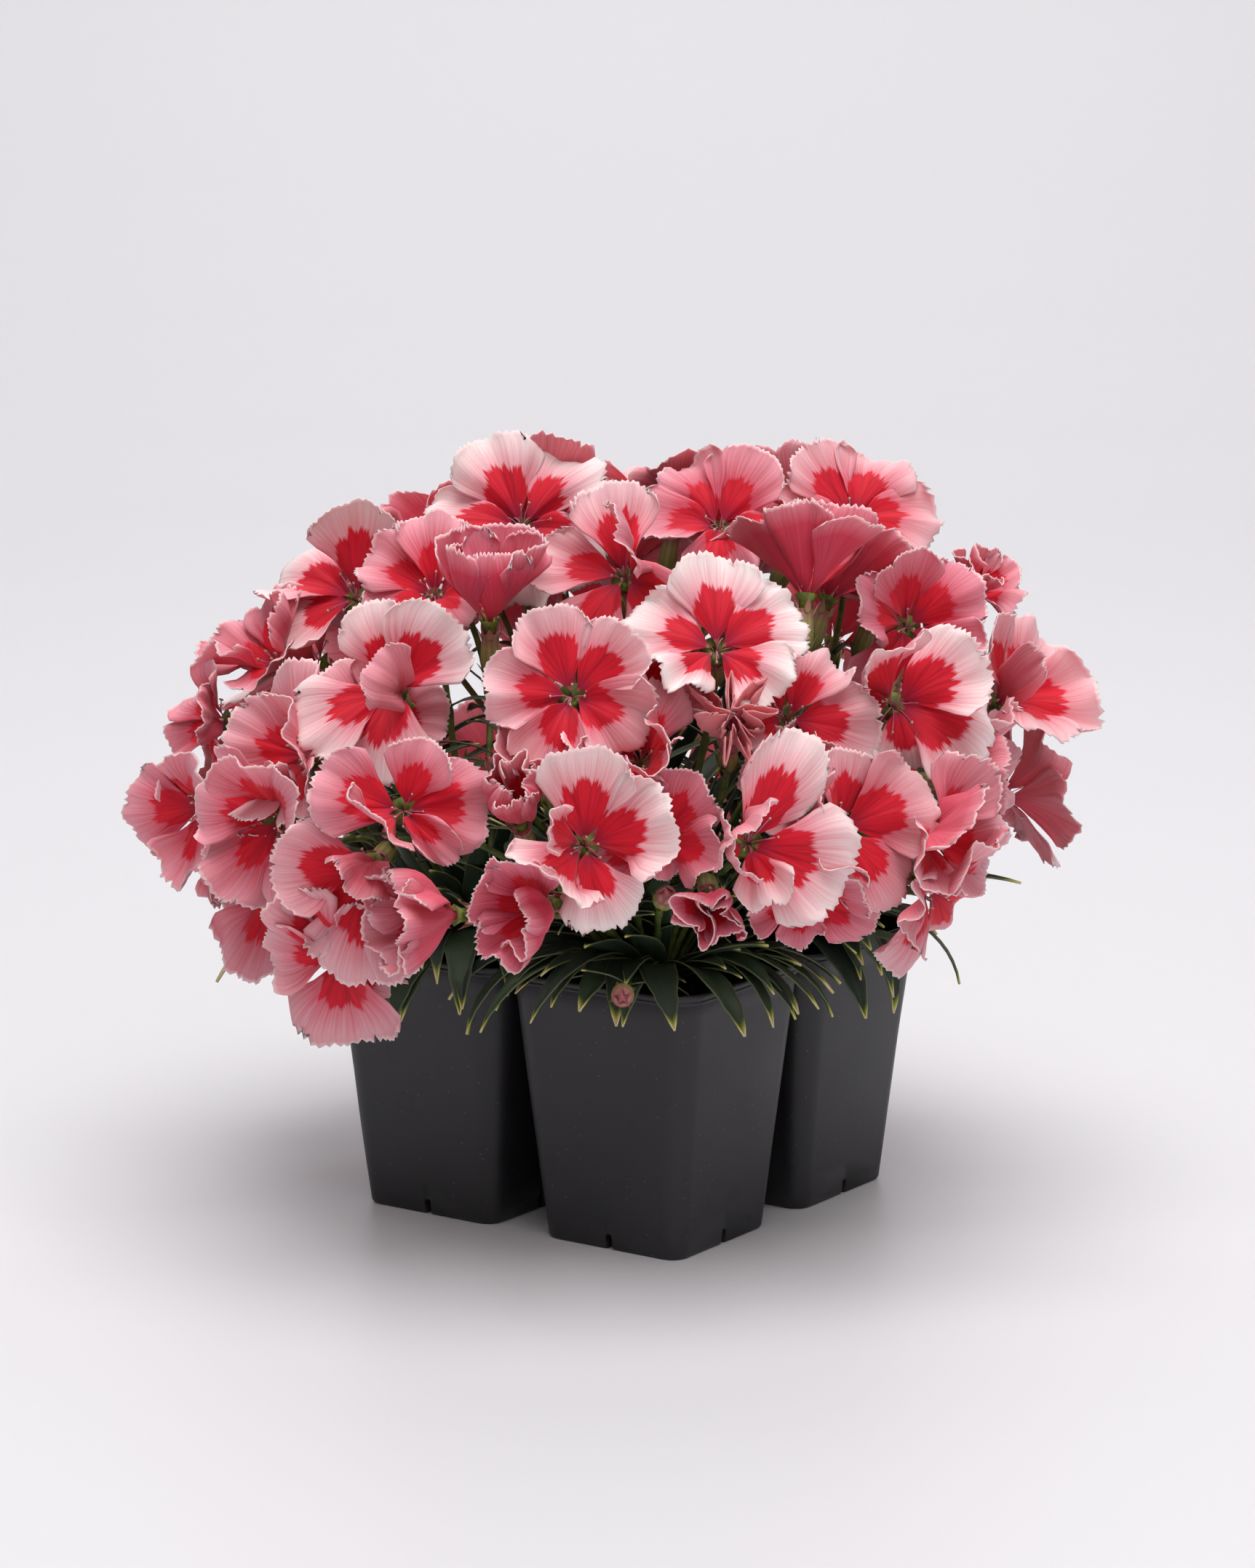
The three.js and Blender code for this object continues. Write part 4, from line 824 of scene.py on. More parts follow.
def nearestCell(point):
    gaps = [math.hypot(middle.x - point.x, middle.y - point.y) for _, middle in cells]
    return gaps.index(min(gaps))


def ringCount(cell, centre, radius):    # corners of the solid that lie on a ring round a point
    found = greensTrees[cell].find_range(centre, radius + near)
    return sum(1 for _, _, gap in found if gap > radius - near)


def stemCurve(cell, foot, out, sway, slip):
    middle = cells[cell][1]
    away = Vector((foot.x - middle.x, foot.y - middle.y, 0))
    lean = away.length / math.hypot(away.length, foot.z - stemShape["crownTop"])
    root = middle + away.normalized() * stemShape["crownFan"] * lean
    root.z = stemShape["crownTop"] - stemShape["sunk"]
    reach = (foot - root).length
    inward = Vector((-foot.x, -foot.y, 0)).normalized()
    bend = inward * sway + Vector((-inward.y, inward.x, 0)) * slip
    first = root.lerp(foot, stemShape["lean"]) + Vector((0, 0, reach * stemShape["climb"])) + bend
    return (root, first, foot - out * reach * stemShape["approach"] + bend, foot)


def readStem(cell, foot, out):
    best = None
    for sway in stemShape["sways"]:
        for slip in stemShape["slips"]:
            corners = stemCurve(cell, foot, out, sway, slip)
            spots = [bezier(corners, k / stemShape["segments"]) for k in range(1, stemShape["segments"])]
            score = sum(ringCount(cell, spot, stemShape["radius"]) for spot in spots)
            if best is None or score > best[0]:
                best = (score, corners)
    return best


def readBud(row):
    bearing, rise, reach = row
    out = direction(bearing, rise + stemShape["budTilt"])
    best = None
    for sink in bloomShape["sinks"]:
        end = bloomShape["heart"] + direction(bearing, rise) * (reach - sink)
        foot = end - out * stemShape["budLength"]
        cell = nearestCell(end)
        score = sum(ringCount(cell, foot.lerp(end, t), stemShape["budRadius"]) for t in (0.3, 0.7))
        if best is None or score > best[0]:
            best = (score, cell, foot, out)
    return best


def calyxTissue():    # the calyx: pale ribs with rose stripes between them, flushed at its mouth
    material, tree = newMaterial("calyxTissue")
    along = addNode(tree, "Attribute", {"attribute_name": "along"})
    rib = addNode(tree, "Attribute", {"attribute_name": "rib"})
    place = addNode(tree, "TexCoord")
    grain = addNode(tree, "TexNoise", {"Scale": perMetre(2.857), "Detail": 3.0},
                    {"Vector": place.outputs["Object"]})
    base = addNode(tree, "ValToRGB",
                   {"stops": [(0.0, "#5d6c34"), (0.35, "#86904c"), (0.7, "#a3a263"), (0.85, "#a97f6b"),
                              (1.0, "#b0606a")]}, {"Fac": along})
    ribbed = addNode(tree, "Math", {"operation": "MULTIPLY"}, {0: rib, 1: grain})
    striped = addNode(tree, "Mix", {"data_type": "RGBA", "B": "#7a5a3c"}, {"Factor": ribbed, "A": base})
    bump = addNode(tree, "Bump", {"Strength": 0.6, "Distance": 0.2 * mm}, {"Height": rib})
    shader = addNode(tree, "BsdfPrincipled",
                     {"Roughness": 0.5, "IOR": 1.4, "Subsurface Weight": 0.1, "Subsurface Scale": mm},
                     {"Base Color": striped, "Normal": bump})
    closeMaterial(tree, shader)
    return material


def leafSkin():    # the leaf: a waxy blue-green skin, paler at margin and midrib, yellow at the tip
    material, tree = newMaterial("waxyLeafSkin")
    uv = addNode(tree, "UVMap", {"uv_map": "leaf"})
    split = addNode(tree, "SeparateXYZ", links={0: uv})
    place = addNode(tree, "TexCoord")
    tone = addNode(tree, "Attribute", {"attribute_name": "tone"})
    dry = addNode(tree, "Attribute", {"attribute_name": "dry"})
    mottle = addNode(tree, "TexNoise", {"Scale": perMetre(7.692), "Detail": 4.0},
                     {"Vector": place.outputs["Object"]})
    shade = addNode(tree, "Math", {"operation": "MULTIPLY_ADD", 1: 0.5}, {0: mottle, 2: tone})
    green = addNode(tree, "ValToRGB",
                    {"stops": [(0.2, "#24312a"), (0.5, "#30402f"), (0.8, "#3f5138"), (1.0, "#5b6a3d")]},
                    {"Fac": shade})
    side = addNode(tree, "Math", {"operation": "MULTIPLY_ADD", 1: 2.0, 2: -1.0}, {0: split.outputs[0]})
    sideWidth = addNode(tree, "Math", {"operation": "ABSOLUTE"}, {0: side})
    margin = addNode(tree, "MapRange", {"From Min": 0.9, "From Max": 0.99, "To Max": 0.7},
                     {"Value": sideWidth})
    edged = addNode(tree, "Mix", {"data_type": "RGBA", "B": "#6f7a55"}, {"Factor": margin, "A": green})
    rib = addNode(tree, "MapRange", {"From Min": 0.07, "From Max": 0.01, "To Max": 0.4},
                  {"Value": sideWidth})
    ribbed = addNode(tree, "Mix", {"data_type": "RGBA", "B": "#475640"}, {"Factor": rib, "A": edged})
    pointed = addNode(tree, "Math", {"operation": "MULTIPLY_ADD", 1: 0.04, 2: 0.0}, {0: sideWidth})
    toTip = addNode(tree, "Math", {"operation": "ADD"}, {0: split.outputs[1], 1: pointed})
    dried = addNode(tree, "Math", {"operation": "MULTIPLY_ADD", 1: 0.15}, {0: dry, 2: toTip})
    tipTone = addNode(tree, "MapRange", {"From Min": 0.965, "From Max": 1.03}, {"Value": dried})
    tip = addNode(tree, "ValToRGB", {"stops": [(0.0, "#7f8b38"), (0.6, "#a9ab45"), (1.0, "#dccf95")]},
                  {"Fac": tipTone})
    tipAt = addNode(tree, "MapRange", {"From Min": 0.955, "From Max": 1.0}, {"Value": dried})
    tipped = addNode(tree, "Mix", {"data_type": "RGBA"}, {"Factor": tipAt, "A": ribbed, "B": tip})
    lineWide = addNode(tree, "Math", {"operation": "MULTIPLY", 1: 60.0}, {0: split.outputs[0]})
    linePlace = addNode(tree, "CombineXYZ", links={0: lineWide, 1: split.outputs[1]})
    lines = addNode(tree, "TexNoise", {"Scale": 1.0, "Detail": 1.0}, {"Vector": linePlace})
    bump = addNode(tree, "Bump", {"Strength": 0.35, "Distance": 0.2 * mm}, {"Height": lines})
    shader = addNode(tree, "BsdfPrincipled",
                     {"Roughness": 0.46, "IOR": 1.45, "Subsurface Weight": 0.06, "Subsurface Scale": mm},
                     {"Base Color": tipped, "Normal": bump})
    closeMaterial(tree, shader)
    return material


stemMaterial = softTissue("stemTissue", [(0.3, "#4a5a30"), (0.7, "#76843f")], 4, 0.5)
calyxMaterial = calyxTissue()
leafMaterial = leafSkin()


def addStem(bm, corners):    # a round stem with two swollen joints
    shape = stemShape
    count = shape["steps"]
    path = [bezier(corners, k / count) for k in range(count + 1)]
    radii = [shape["thickness"]] * (count + 1)
    for k in shape["joints"]:
        radii[k] += shape["jointSwell"]
    radii[-1] = shape["neck"]
    sweepTube(bm, path, radii, shape["sides"], 0)


scaleShape = {"steps": 5, "sides": 6, "root": 0.7, "belly": 0.5, "pointed": 2.2, "thickness": 0.22,
              "least": 0.04, "curve": 0.12, "keel": 0.1, "shading": 0.3}


def addScale(bm, root, reach, outward, width, alongLayer, alongFrom):    # a small pointed scale, closed
    shape = scaleShape
    across = reach.cross(outward).normalized()
    outward = across.cross(reach).normalized()
    turns = [fullTurn * j / shape["sides"] for j in range(shape["sides"])]
    rings = []
    for k in range(shape["steps"] + 1):
        t = k / shape["steps"]
        wide = width / 2 * (shape["root"] + shape["belly"] * math.sin(math.pi * t))
        wide = wide * (1 - t ** shape["pointed"]) + shape["least"]
        thick = shape["thickness"] * (1 - t) + shape["least"]
        spot = root + reach * t + outward * (shape["curve"] * reach.length * t * t)
        rings.append([spot + across * wide * math.cos(a)
                      + outward * (thick * math.sin(a) - shape["keel"] * math.cos(a) ** 2) for a in turns])
    for k, loop in enumerate(loftRings(bm, rings, 1)):
        for vert in loop:
            vert[alongLayer] = alongFrom + shape["shading"] * k / shape["steps"]


calyxShape = {"sides": 20,
              "profile": ((0, 0.46), (0.06, 0.8), (0.25, 1.12), (0.55, 1.14), (0.85, 1), (1.0, 1.04)),
              "teeth": 5, "toothReach": 4.4, "toothWidth": 2.0, "toothRoot": (0.88, 0.95),
              "toothShade": 0.7,
              "bracts": 4, "bractWidth": 2.6, "bractTurn": 0.4, "bractReach": (0.4, 0.6), "bractLean": 2.1,
              "bractRoot": (0.6, 1.2)}    # mm below the calyx's foot, and out from its middle


def addCalyx(bm, layers, foot, out, length, mouth, spread, dice):
    shape = calyxShape
    path = [foot + out * length * share for share, _ in shape["profile"]]
    radii = [radius * mouth for _, radius in shape["profile"]]
    loops = sweepTube(bm, path, radii, shape["sides"], 1)
    for (share, _), loop in zip(shape["profile"], loops):
        for k, vert in enumerate(loop):
            vert[layers["along"]] = share
            vert[layers["rib"]] = k % 2
    side = out.orthogonal().normalized()
    other = out.cross(side)
    turn = dice.uniform(*anyAngle)
    for k in range(shape["teeth"]):
        angle = turn + k * fullTurn / shape["teeth"]
        around = side * math.cos(angle) + other * math.sin(angle)
        up, aside = shape["toothRoot"]
        root = foot + out * length * up + around * mouth * aside
        addScale(bm, root, out * shape["toothReach"] + around * spread, around, shape["toothWidth"],
                 layers["along"], shape["toothShade"])
    for k in range(shape["bracts"]):
        angle = turn + k * fullTurn / shape["bracts"] + shape["bractTurn"]
        around = side * math.cos(angle) + other * math.sin(angle)
        down, aside = shape["bractRoot"]
        reach = out * length * dice.uniform(*shape["bractReach"]) + around * shape["bractLean"]
        addScale(bm, foot - out * down + around * aside, reach, around, shape["bractWidth"],
                 layers["along"], 0.0)


leafShape = {"outline": ((0, 0.42), (0.15, 0.7), (0.4, 1.0), (0.62, 0.9), (0.82, 0.55), (0.94, 0.22),
                         (1, 0.03)),
             "broader": 1.22, "channel": 0.2, "channelStray": (0.6, 1.6), "thickness": 0.4,
             "twist": 0.35, "swing": 0.06, "flutter": 0.08, "dryness": (0, 0, 0, 0.15, 0.3), "columns": 6,
             "rows": 18}


def addBlade(bm, uvLayer, layers, blade, seed):
    dice = random.Random(seed)
    shape = leafShape
    columns, rows = blade.get("columns", shape["columns"]), blade.get("rows", shape["rows"])
    grid = bmesh.ops.create_grid(bm, x_segments=columns, y_segments=rows, size=1)["verts"]
    faces = {face for vert in grid for face in vert.link_faces}
    tone = dice.uniform(0.0, 0.5)
    dry = dice.choice(shape["dryness"])
    twist = dice.uniform(-shape["twist"], shape["twist"])
    swing = dice.uniform(-shape["swing"], shape["swing"])
    wave = dice.uniform(*anyAngle)
    deep = dice.uniform(*shape["channelStray"]) * shape["channel"]
    spots = {}
    out = direction(blade["bearing"], 0)
    aside = direction(blade["bearing"] + 90, 0)
    for vert in grid:
        u, t = vert.co.x, (vert.co.y + 1) / 2
        spots[vert] = (u, t)
        away, height, slope = arcLine(blade["length"], blade["rise"], blade["fall"], t)
        wide = blade["width"] / 2 * alongStops(shape["outline"], t)
        lift = deep * blade["width"] / 2 * (abs(u) ** 1.4 - 0.5) * (1 - 0.5 * t)
        turned = twist * math.sin(math.pi * t) + shape["flutter"] * math.sin(t * 7 + wave)
        proud = lift + u * wide * math.sin(turned)
        bow = swing * blade["length"] * math.sin(math.pi * t)
        vert.co = blade["root"] + out * (away - proud * math.sin(slope))
        vert.co += Vector((0, 0, height + proud * math.cos(slope)))
        vert.co += aside * (u * wide * math.cos(turned) + bow)
        vert[layers["tone"]] = tone
        vert[layers["dry"]] = dry
    for face in faces:
        for loop in face.loops:
            u, t = spots[loop.vert]
            loop[uvLayer].uv = ((u + 1) / 2, t)
    bmesh.ops.reverse_faces(bm, faces=list(faces))


# Leaves that hang over the rims: cell, bearing, rise at the root, slope at the tip, length and width.
rimLeafRows = [
    (1, -138, 50, -60, 80, 10), (1, -83, 58, -90, 57, 9), (0, -128, 55, -80, 64, 8),
    (1, -57, 54, -62, 58, 8), (0, -111, 50, -42, 46, 8), (0, -102, 62, -60, 47, 7),
    (0, -84, 58, -56, 45, 9), (0, -70, 64, -72, 48, 8), (0, -50, 52, -56, 53, 9),
    (0, -30, 52, -66, 52, 9), (0, 6, 56, -68, 48, 9), (0, 29, 50, -48, 52, 8),
    (2, -11, 55, -92, 56, 9), (2, -36, 52, -80, 60, 9), (2, 39, 52, -80, 61, 8),
    (2, 20, 50, -14, 72, 7),
]
rimTurns = (0, 2, -2, 4, -4, 7, -7)
fanShape = {"leaves": 7, "turn": 137.5, "sway": 20, "width": (7, 2), "turns": (0, 17, -17, 34, -34),
            "upright": ((66, 14), (30, 40), (40, 16)), "leaning": ((48, 14), (85, 50), (48, 14))}
pairShape = {"every": 9, "width": 6.5, "sway": 20, "rise": (45, 20), "fall": (-10, 30), "length": (32, 12)}


def leafTipFound(cell, blade):
    away, height, _ = arcLine(blade["length"], blade["rise"], blade["fall"], 1)
    tip = blade["root"] + direction(blade["bearing"], 0) * away + Vector((0, 0, height))
    return greensTrees[cell].find(tip)[2] < near


def crownRoot(cell, bearing):
    root = cells[cell][1] + direction(bearing, 0) * stemShape["crownFan"]
    root.z = stemShape["crownTop"] - stemShape["leafDepth"]
    return root


def readLeaf(cell, blade, turns):    # the turn at which the solid has this leaf's tip, or none
    for turn in turns:
        bearing = blade["bearing"] + turn
        tried = dict(blade, bearing=bearing, root=crownRoot(cell, bearing))
        if leafTipFound(cell, tried):
            return tried
    return None


def rolled(bounds, dice):
    return bounds[0] + bounds[1] * dice()


def readLeaves(stems):
    leaves = []
    for cell, bearing, rise, fall, length, width in rimLeafRows:
        blade = {"bearing": bearing, "rise": rise, "fall": fall, "length": length, "width": width}
        leaves.append((cell, readLeaf(cell, blade, rimTurns)))
    for cell in range(4):
        dice = makeDice(31 + cell)
        for i in range(fanShape["leaves"]):
            habit = fanShape["upright"] if i % 2 == 0 else fanShape["leaning"]
            rise = rolled(habit[0], dice)
            fall = rise - rolled(habit[1], dice)
            length = rolled(habit[2], dice)
            width = rolled(fanShape["width"], dice)
            bearing = i * fanShape["turn"] + fanShape["sway"] * dice()
            blade = {"bearing": bearing, "rise": rise, "fall": fall, "length": length, "width": width}
            leaves.append((cell, readLeaf(cell, blade, fanShape["turns"])))
    for i in range(0, len(stems), pairShape["every"]):
        cell, corners = stems[i]
        dice = makeDice(101 + i)
        path = [bezier(corners, k / stemShape["segments"]) for k in range(1, 4)]
        along = path[2] - path[0]
        aside = math.degrees(math.atan2(along.y, along.x)) + 90 + pairShape["sway"] * (2 * dice() - 1)
        rise = rolled(pairShape["rise"], dice)
        fall = rolled(pairShape["fall"], dice)
        length = rolled(pairShape["length"], dice)
        for bearing in (aside, aside + 180):
            blade = {"root": path[1], "bearing": bearing, "rise": rise, "fall": fall, "length": length,
                     "width": pairShape["width"]}
            leaves.append((cell, blade if leafTipFound(cell, blade) else None))
    print("leaves found", sum(1 for _, blade in leaves if blade), "of", len(leaves))
    return [(cell, dict(blade, width=blade["width"] * leafShape["broader"]))
            for cell, blade in leaves if blade]


# Leaves round a crown, which lean out between the rims, and taller ones that stand among the stems.
tuftShape = {
    "low": {"leaves": 26, "rise": (15, 58), "turn": (-85, -35), "length": (30, 54), "width": (6, 9.5)},
    "rim": {"leaves": 13, "rise": (48, 64), "turn": (-135, -105), "length": (46, 64), "width": (6.5, 9.5)},
    "tall": {"leaves": 24, "rise": (50, 86), "turn": (-60, -5), "length": (52, 98), "width": (5.5, 9)},
    "clear": (28.2, 32.6), "rimTop": 77.8, "checks": 14, "reach": 93, "columns": 4, "rows": 12,
    "step": 97, "stray": 30, "attempts": 400,
}
twigShape = {"at": (0.5, 0.74), "length": (13, 26), "width": (2.6, 4.2), "rise": (10, 65),
             "turn": (-50, 10), "droop": 30, "ahead": 0.05, "aside": (60, 120), "columns": 4, "rows": 8}


def clearsRims(blade):    # a leaf of the tuft passes over the pack's rims, never through them
    checks = tuftShape["checks"]
    for k in range(1, checks + 1):
        away, height, _ = arcLine(blade["length"], blade["rise"], blade["fall"], k / checks)
        spot = blade["root"] + direction(blade["bearing"], 0) * away + Vector((0, 0, height))
        for _, middle in cells:
            off = max(abs(spot.x - middle.x), abs(spot.y - middle.y))
            if spot.z < tuftShape["rimTop"] and tuftShape["clear"][0] < off < tuftShape["clear"][1]:
                return False
    return True


def tuftLeaves(cell, kind):    # the many smaller leaves round a crown
    dice = random.Random(900 + cell * 7 + len(kind))
    leaves = []
    for attempt in range(tuftShape["attempts"]):
        if len(leaves) == tuftShape[kind]["leaves"]:
            break
        bearing = attempt * tuftShape["step"] + dice.uniform(-tuftShape["stray"], tuftShape["stray"])
        blade = {"bearing": bearing, "root": crownRoot(cell, bearing), "columns": tuftShape["columns"],
                 "rows": tuftShape["rows"]}
        for key in ("rise", "length", "width"):
            blade[key] = dice.uniform(*tuftShape[kind][key])
        blade["fall"] = blade["rise"] + dice.uniform(*tuftShape[kind]["turn"])
        away, height, _ = arcLine(blade["length"], blade["rise"], blade["fall"], 1)
        tip = blade["root"] + direction(bearing, 0) * away + Vector((0, 0, height))
        beside = min(max(abs(tip.x - middle.x), abs(tip.y - middle.y)) for _, middle in cells)
        if kind == "rim" and beside < tuftShape["clear"][1]:    # these hang outside the pack
            continue
        if clearsRims(blade) and (tip - bloomShape["heart"]).length < tuftShape["reach"]:
            leaves.append(blade)
    return leaves


def twigLeaves(corners, seed):    # the small pairs of leaves at the joints of a stem
    dice = random.Random(seed)
    leaves = []
    for at in twigShape["at"]:
        root = bezier(corners, at)
        along = bezier(corners, at + twigShape["ahead"]) - root
        bearing = math.degrees(math.atan2(along.y, along.x)) + dice.uniform(*twigShape["aside"])
        for turn in (0, 180):
            rise = dice.uniform(*twigShape["rise"])
            leaves.append({"bearing": bearing + turn, "root": root, "rise": rise,
                           "fall": rise + dice.uniform(*twigShape["turn"]) - twigShape["droop"],
                           "length": dice.uniform(*twigShape["length"]),
                           "width": dice.uniform(*twigShape["width"]),
                           "columns": twigShape["columns"], "rows": twigShape["rows"]})
    return leaves


def makeGreens():
    shape = stemShape
    stems = []
    calyxes = []
    weak = 0
    for bloom in blooms:
        foot = bloom["throat"] - bloom["out"] * (shape["seat"] + shape["calyxLength"])
        cell = nearestCell(bloom["throat"])
        score, corners = readStem(cell, foot, bloom["out"])
        weak += score < shape["weakScore"]
        stems.append((cell, corners))
        calyxes.append((cell, foot, bloom["out"]))
    buds = [readBud(row) for row in budRows]
    print("stems read:", len(stems), "weak", weak, "buds", [bud[0] for bud in buds])
    leaves = readLeaves(stems)
    stems += [(cell, readStem(cell, foot, out)[1]) for _, cell, foot, out in buds]
    for cell in range(4):
        leaves += [(cell, blade) for kind in ("low", "rim", "tall") for blade in tuftLeaves(cell, kind)]
    for number, (cell, corners) in enumerate(stems):
        leaves += [(cell, blade) for blade in twigLeaves(corners, 1300 + number)]
    for cell, (name, middle) in enumerate(cells):
        bm = bmesh.new()
        layers = {key: bm.verts.layers.float.new(key) for key in ("along", "rib")}
        dice = random.Random(200 + cell)
        for owner, corners in stems:
            if owner == cell:
                addStem(bm, corners)
        for owner, foot, out in calyxes:
            if owner == cell:
                addCalyx(bm, layers, foot, out, shape["calyxLength"], shape["mouth"], shape["calyxSpread"],
                         dice)
        for _, owner, foot, out in buds:
            if owner == cell:
                addCalyx(bm, layers, foot, out, shape["budLength"] * shape["budCalyx"], shape["budMouth"],
                         shape["budSpread"], dice)
                path = [foot + out * shape["budLength"] * t for t in shape["budRises"]]
                bud = sweepTube(bm, path, shape["budRadii"], shape["budSides"], 1)
                for shade, loop in zip(shape["budShades"], bud):
                    for vert in loop:
                        vert[layers["along"]] = shade
        path = [middle + Vector((0, 0, shape["crownFoot"] + rise)) for rise in shape["crownRises"]]
        sweepTube(bm, path, shape["crownRadii"], shape["crownSides"], 0)
        finishPiece("greens_" + name + "_stems", bm, [stemMaterial, calyxMaterial],
                    ["greens_" + name])
        bm = bmesh.new()
        uvLayer = bm.loops.layers.uv.new("leaf")
        layers = {key: bm.verts.layers.float.new(key) for key in ("tone", "dry")}
        for number, (owner, blade) in enumerate(leaves):
            if owner == cell:
                addBlade(bm, uvLayer, layers, blade, 500 + number)
        finishPiece("greens_" + name + "_leaves", bm, [leafMaterial], (), leafShape["thickness"])


makeGreens()
print("greens made")


def plasticMaterial():    # thin moulded polypropylene: near black and satin, with dust and dried drops
    material, tree = newMaterial("blackPolypropylene")
    place = addNode(tree, "TexCoord")
    cloud = addNode(tree, "TexNoise", {"Scale": perMetre(35.71), "Detail": 5.0},
                    {"Vector": place.outputs["Object"]})
    tone = addNode(tree, "ValToRGB", {"stops": [(0.35, "#1d1b1e"), (0.7, "#252327")]}, {"Fac": cloud})
    specks = addNode(tree, "TexVoronoi", {"Scale": perMetre(3.333)}, {"Vector": place.outputs["Object"]})
    dust = addNode(tree, "MapRange", {"From Min": 0.1, "From Max": 0.05, "To Max": 0.3}, {"Value": specks})
    dusted = addNode(tree, "Mix", {"data_type": "RGBA", "B": "#7d797b"}, {"Factor": dust, "A": tone})
    drops = addNode(tree, "TexVoronoi", {"Scale": perMetre(13.333)}, {"Vector": place.outputs["Object"]})
    ring = addNode(tree, "Math", {"operation": "SUBTRACT", 1: 0.22}, {0: drops})
    ringWidth = addNode(tree, "Math", {"operation": "ABSOLUTE"}, {0: ring})
    dried = addNode(tree, "MapRange", {"From Min": 0.05, "From Max": 0.0, "To Max": 0.5},
                    {"Value": ringWidth})
    some = addNode(tree, "MapRange", {"From Min": 0.5, "From Max": 0.62}, {"Value": cloud})
    spotted = addNode(tree, "Math", {"operation": "MULTIPLY"}, {0: dried, 1: some})
    stained = addNode(tree, "Mix", {"data_type": "RGBA", "B": "#141316"}, {"Factor": spotted, "A": dusted})
    rough = addNode(tree, "MapRange", {"From Min": 0.3, "From Max": 0.7, "To Min": 0.4, "To Max": 0.52},
                    {"Value": cloud})
    shader = addNode(tree, "BsdfPrincipled", {"IOR": 1.49}, {"Base Color": stained, "Roughness": rough})
    closeMaterial(tree, shader)
    return material


def peatMaterial():    # damp crumbly peat, dark brown with paler fibres
    material, tree = newMaterial("peat")
    place = addNode(tree, "TexCoord")
    grain = addNode(tree, "TexNoise", {"Scale": perMetre(2), "Detail": 6.0},
                    {"Vector": place.outputs["Object"]})
    tone = addNode(tree, "ValToRGB", {"stops": [(0.35, "#15100d"), (0.55, "#241b15"), (0.7, "#3f3226")]},
                   {"Fac": grain})
    bump = addNode(tree, "Bump", {"Strength": 0.8, "Distance": 0.6 * mm}, {"Height": grain})
    shader = addNode(tree, "BsdfPrincipled", {"Roughness": 0.9}, {"Base Color": tone, "Normal": bump})
    closeMaterial(tree, shader)
    return material


plastic = plasticMaterial()
peat = peatMaterial()
ringShape = {"cornerSteps": 8,
             "sideStops": (-1.14, -1.1, -0.78, 0, 0.78, 1.1, 1.14)}    # mm from a side's middle


def ringSpots(height, inset, middle, slotLift=None):    # a rounded square, lifted over the drain slots
    share = height / packShape["height"]
    wide = lerp(packShape["footHalf"], packShape["topHalf"], share) - inset
    corner = max(lerp(packShape["footCorner"], packShape["topCorner"], share) - inset * 0.6, 0.4)
    spots = []
    for side in range(4):
        turn = Matrix.Rotation(side * math.pi / 2, 3, "Z")
        for along in ringShape["sideStops"]:
            level = height
            if slotLift is not None and abs(along) <= packShape["slotHalf"]:
                drop = packShape["slotHalf"] - math.sqrt(packShape["slotHalf"] ** 2 - along ** 2)
                level = max(height, packShape["slotHeight"] - drop + slotLift)
            spots.append(middle + turn @ Vector((wide, along, level)))
        centre = Vector((wide - corner, wide - corner, 0))
        for step in range(ringShape["cornerSteps"] + 1):
            angle = math.pi / 2 * step / ringShape["cornerSteps"]
            rounded = Vector((corner * math.cos(angle), corner * math.sin(angle), height))
            spots.append(middle + turn @ (centre + rounded))
    return spots


def buckled(spot):    # the thin walls of the cells are a little uneven
    shape = packShape
    fade = smooth(*shape["buckleFrom"], spot.z) * (1 - smooth(*shape["buckleUpTo"], spot.z))
    flat = Vector((spot.x, spot.y, 0)).normalized()
    wave = noise.noise(Vector([size * value for size, value in zip(shape["buckleSize"], spot)]))
    return spot + flat * shape["buckle"] * fade * wave


def makePack():
    bm = bmesh.new()
    shape = packShape
    top, wall, count = shape["height"], shape["wall"], shape["wallRings"]
    rimFoot, lip = top - shape["rimBand"], top - 0.25
    for _, middle in cells:
        outer = [(0, wall + shape["slotDepth"]), *shape["footEdge"]]
        outer += [(lerp(shape["wallFoot"], rimFoot, k / count), 0) for k in range(count + 1)]
        outer += [(top + rise, inset - shape["rimProud"]) for rise, inset in shape["rimEdge"]]
        inner = [(top, wall - 0.2), (lip, wall)]
        inner += [(lerp(lip, shape["wallInside"], k / count), wall) for k in range(1, count + 1)]
        inner.append((shape["floor"], wall))
        rings = [ringSpots(height, inset, middle, 0 if number else None)
                 for number, (height, inset) in enumerate(outer)]
        rings += [ringSpots(height, inset, middle, shape["slotInside"]) for height, inset in inner]
        rings.append(ringSpots(shape["floor"], wall + shape["slotDepth"] + 0.8, middle))
        loftRings(bm, [[buckled(spot) for spot in ring] for ring in rings])
    turns = [fullTurn * k / shape["webSides"] for k in range(shape["webSides"])]
    loftRings(bm, [[Vector((shape["web"] * math.cos(a), shape["web"] * math.sin(a), z)) for a in turns]
                   for z in (top - shape["webDepth"], top)])
    finishPiece("cell_pack_shell", bm, [plastic], ["cell_pack"])


soilShape = {"gap": 0.3, "edge": 66, "mound": 4.6, "rings": 15,
             "lump": 1.6, "clod": 0.8, "grain": 0.2,    # mm that the top rises and falls, from wide to fine
             "crumbs": 170, "crumb": (0.5, 1.7), "crumbReach": 26}


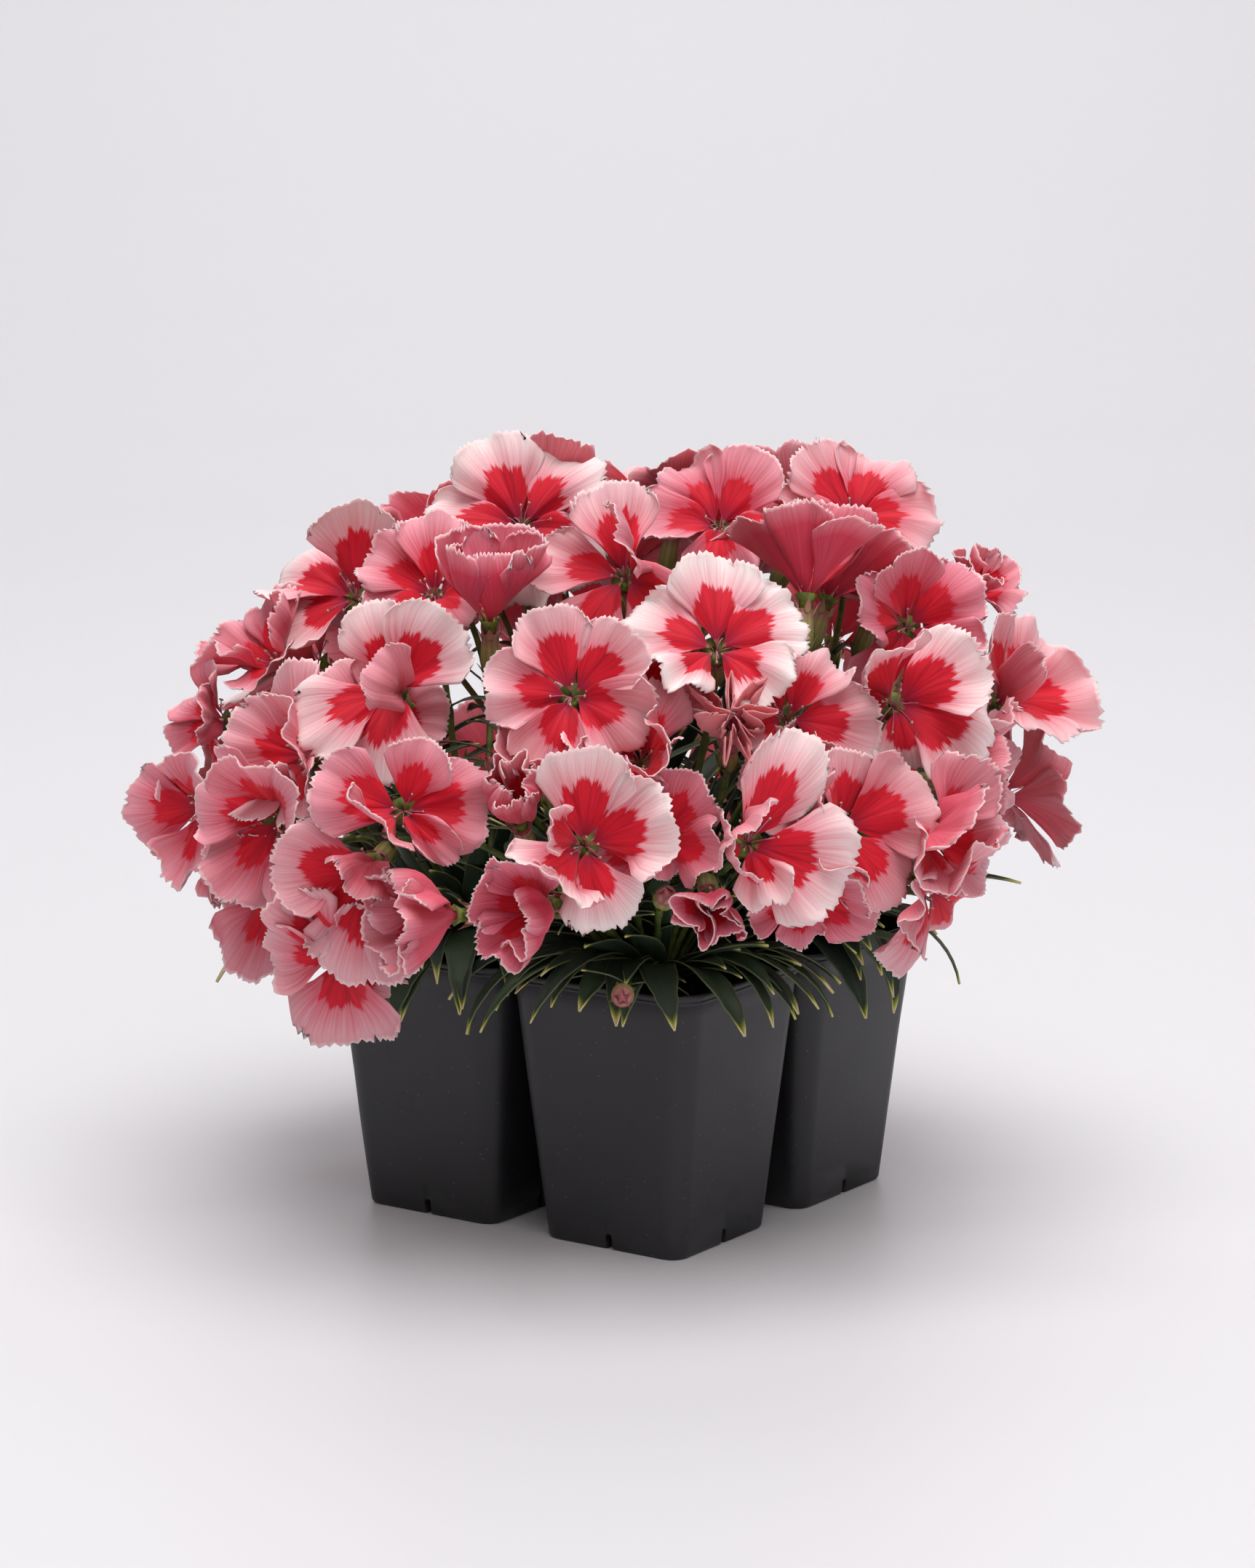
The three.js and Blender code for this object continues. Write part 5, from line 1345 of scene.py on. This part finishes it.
def makeSoil():
    shape = soilShape
    for number, (name, middle) in enumerate(cells):
        bm = bmesh.new()
        dice = random.Random(60 + number)
        gap = packShape["wall"] + shape["gap"]
        outer = ringSpots(shape["edge"], gap, middle)
        rings = [ringSpots(packShape["floor"] + 0.4, gap + 5, middle), ringSpots(7, gap, middle), outer]
        for k in range(1, shape["rings"]):
            inward = k / shape["rings"]
            ring = [spot.lerp(middle + Vector((0, 0, shape["edge"])), inward) for spot in outer]
            for spot in ring:
                lumps = shape["lump"] * noise.noise(spot * 0.22 + Vector((number * 9, 0, 0)))
                lumps += shape["clod"] * noise.noise(spot * 0.7)
                lumps += dice.uniform(-shape["grain"], shape["grain"])
                spot.z += shape["mound"] * inward ** 0.7 + lumps
            rings.append(ring)
        loftRings(bm, rings)
        for _ in range(shape["crumbs"]):
            angle, out = dice.uniform(*anyAngle), dice.uniform(0.15, 0.95) ** 0.6
            reach = shape["crumbReach"] * out
            spot = middle + Vector((math.cos(angle) * reach, math.sin(angle) * reach, shape["edge"]))
            spot.z += shape["mound"] * (1 - out) ** 0.7 + 0.3
            size = dice.uniform(*shape["crumb"])
            place = Matrix.Translation(spot)
            crumb = bmesh.ops.create_icosphere(bm, subdivisions=1, radius=size, matrix=place)
            for vert in crumb["verts"]:
                vert.co += Vector([dice.uniform(-0.3, 0.3) * size for _ in range(3)])
        finishPiece("soil_" + name + "_crumbs", bm, [peat], ["soil_" + name])


makePack()
makeSoil()
print("pack and soil made")

studio = {"board": "#dcdadd", "wide": 4.0, "front": 3.5, "behind": 1.5, "bend": 1.4, "rise": 1.6,
          "steps": 40,
          "sky": "#f4f4f6", "skyStrength": 0.25,
          "lamps": (("key", (0.12, -0.5, 2.6), (0, 0.1, 0), 2.3, 74),    # place, aim, size, watts
                    ("front", (0.5, -1.8, 1.1), (0, 0, 0.1), 1.6, 7),
                    ("backdrop", (0, 2.0, 2.2), (0, 2.4, 0), 2.0, 20))}


def makeStudio():
    material, tree = newMaterial("paintedBoard")    # matte pale board with a faint sheen near the feet
    shader = addNode(tree, "BsdfPrincipled",
                     {"Base Color": studio["board"], "Roughness": 0.42, "Specular IOR Level": 0.3})
    closeMaterial(tree, shader)
    bm = bmesh.new()
    sheet = bmesh.ops.create_grid(bm, x_segments=2, y_segments=studio["steps"], size=1)["verts"]
    arc = studio["bend"] * math.pi / 2
    whole = studio["front"] + studio["behind"] + arc + studio["rise"]
    turn = Matrix.Rotation(rad(view["turn"]), 3, "Z")
    for vert in sheet:
        along = (vert.co.y + 1) / 2 * whole - studio["front"] - studio["behind"]
        angle = min(max(along / studio["bend"], 0), math.pi / 2)
        back = studio["behind"] + (along if along < 0 else studio["bend"] * math.sin(angle))
        high = studio["bend"] * (1 - math.cos(angle)) + max(along - arc, 0)
        vert.co = turn @ Vector((vert.co.x * studio["wide"], back, high))
    for face in bm.faces:
        face.smooth = True
    mesh = bpy.data.meshes.new("floor")
    bm.to_mesh(mesh)
    bm.free()
    mesh.materials.append(material)
    board = bpy.data.objects.new("floor", mesh)
    bpy.context.scene.collection.objects.link(board)
    world = bpy.data.worlds.new("studio")
    world.use_nodes = True
    world.node_tree.nodes["Background"].inputs[0].default_value = toLinear(studio["sky"])
    world.node_tree.nodes["Background"].inputs[1].default_value = studio["skyStrength"]
    bpy.context.scene.world = world
    for name, place, aim, size, power in studio["lamps"]:
        light = bpy.data.lights.new(name, "AREA")
        light.size = size
        light.energy = power
        lamp = bpy.data.objects.new(name, light)
        lamp.location = turn @ Vector(place)
        lamp.rotation_euler = (turn @ Vector(aim) - lamp.location).to_track_quat("-Z", "Y").to_euler()
        bpy.context.scene.collection.objects.link(lamp)


makeStudio()
print("studio made")
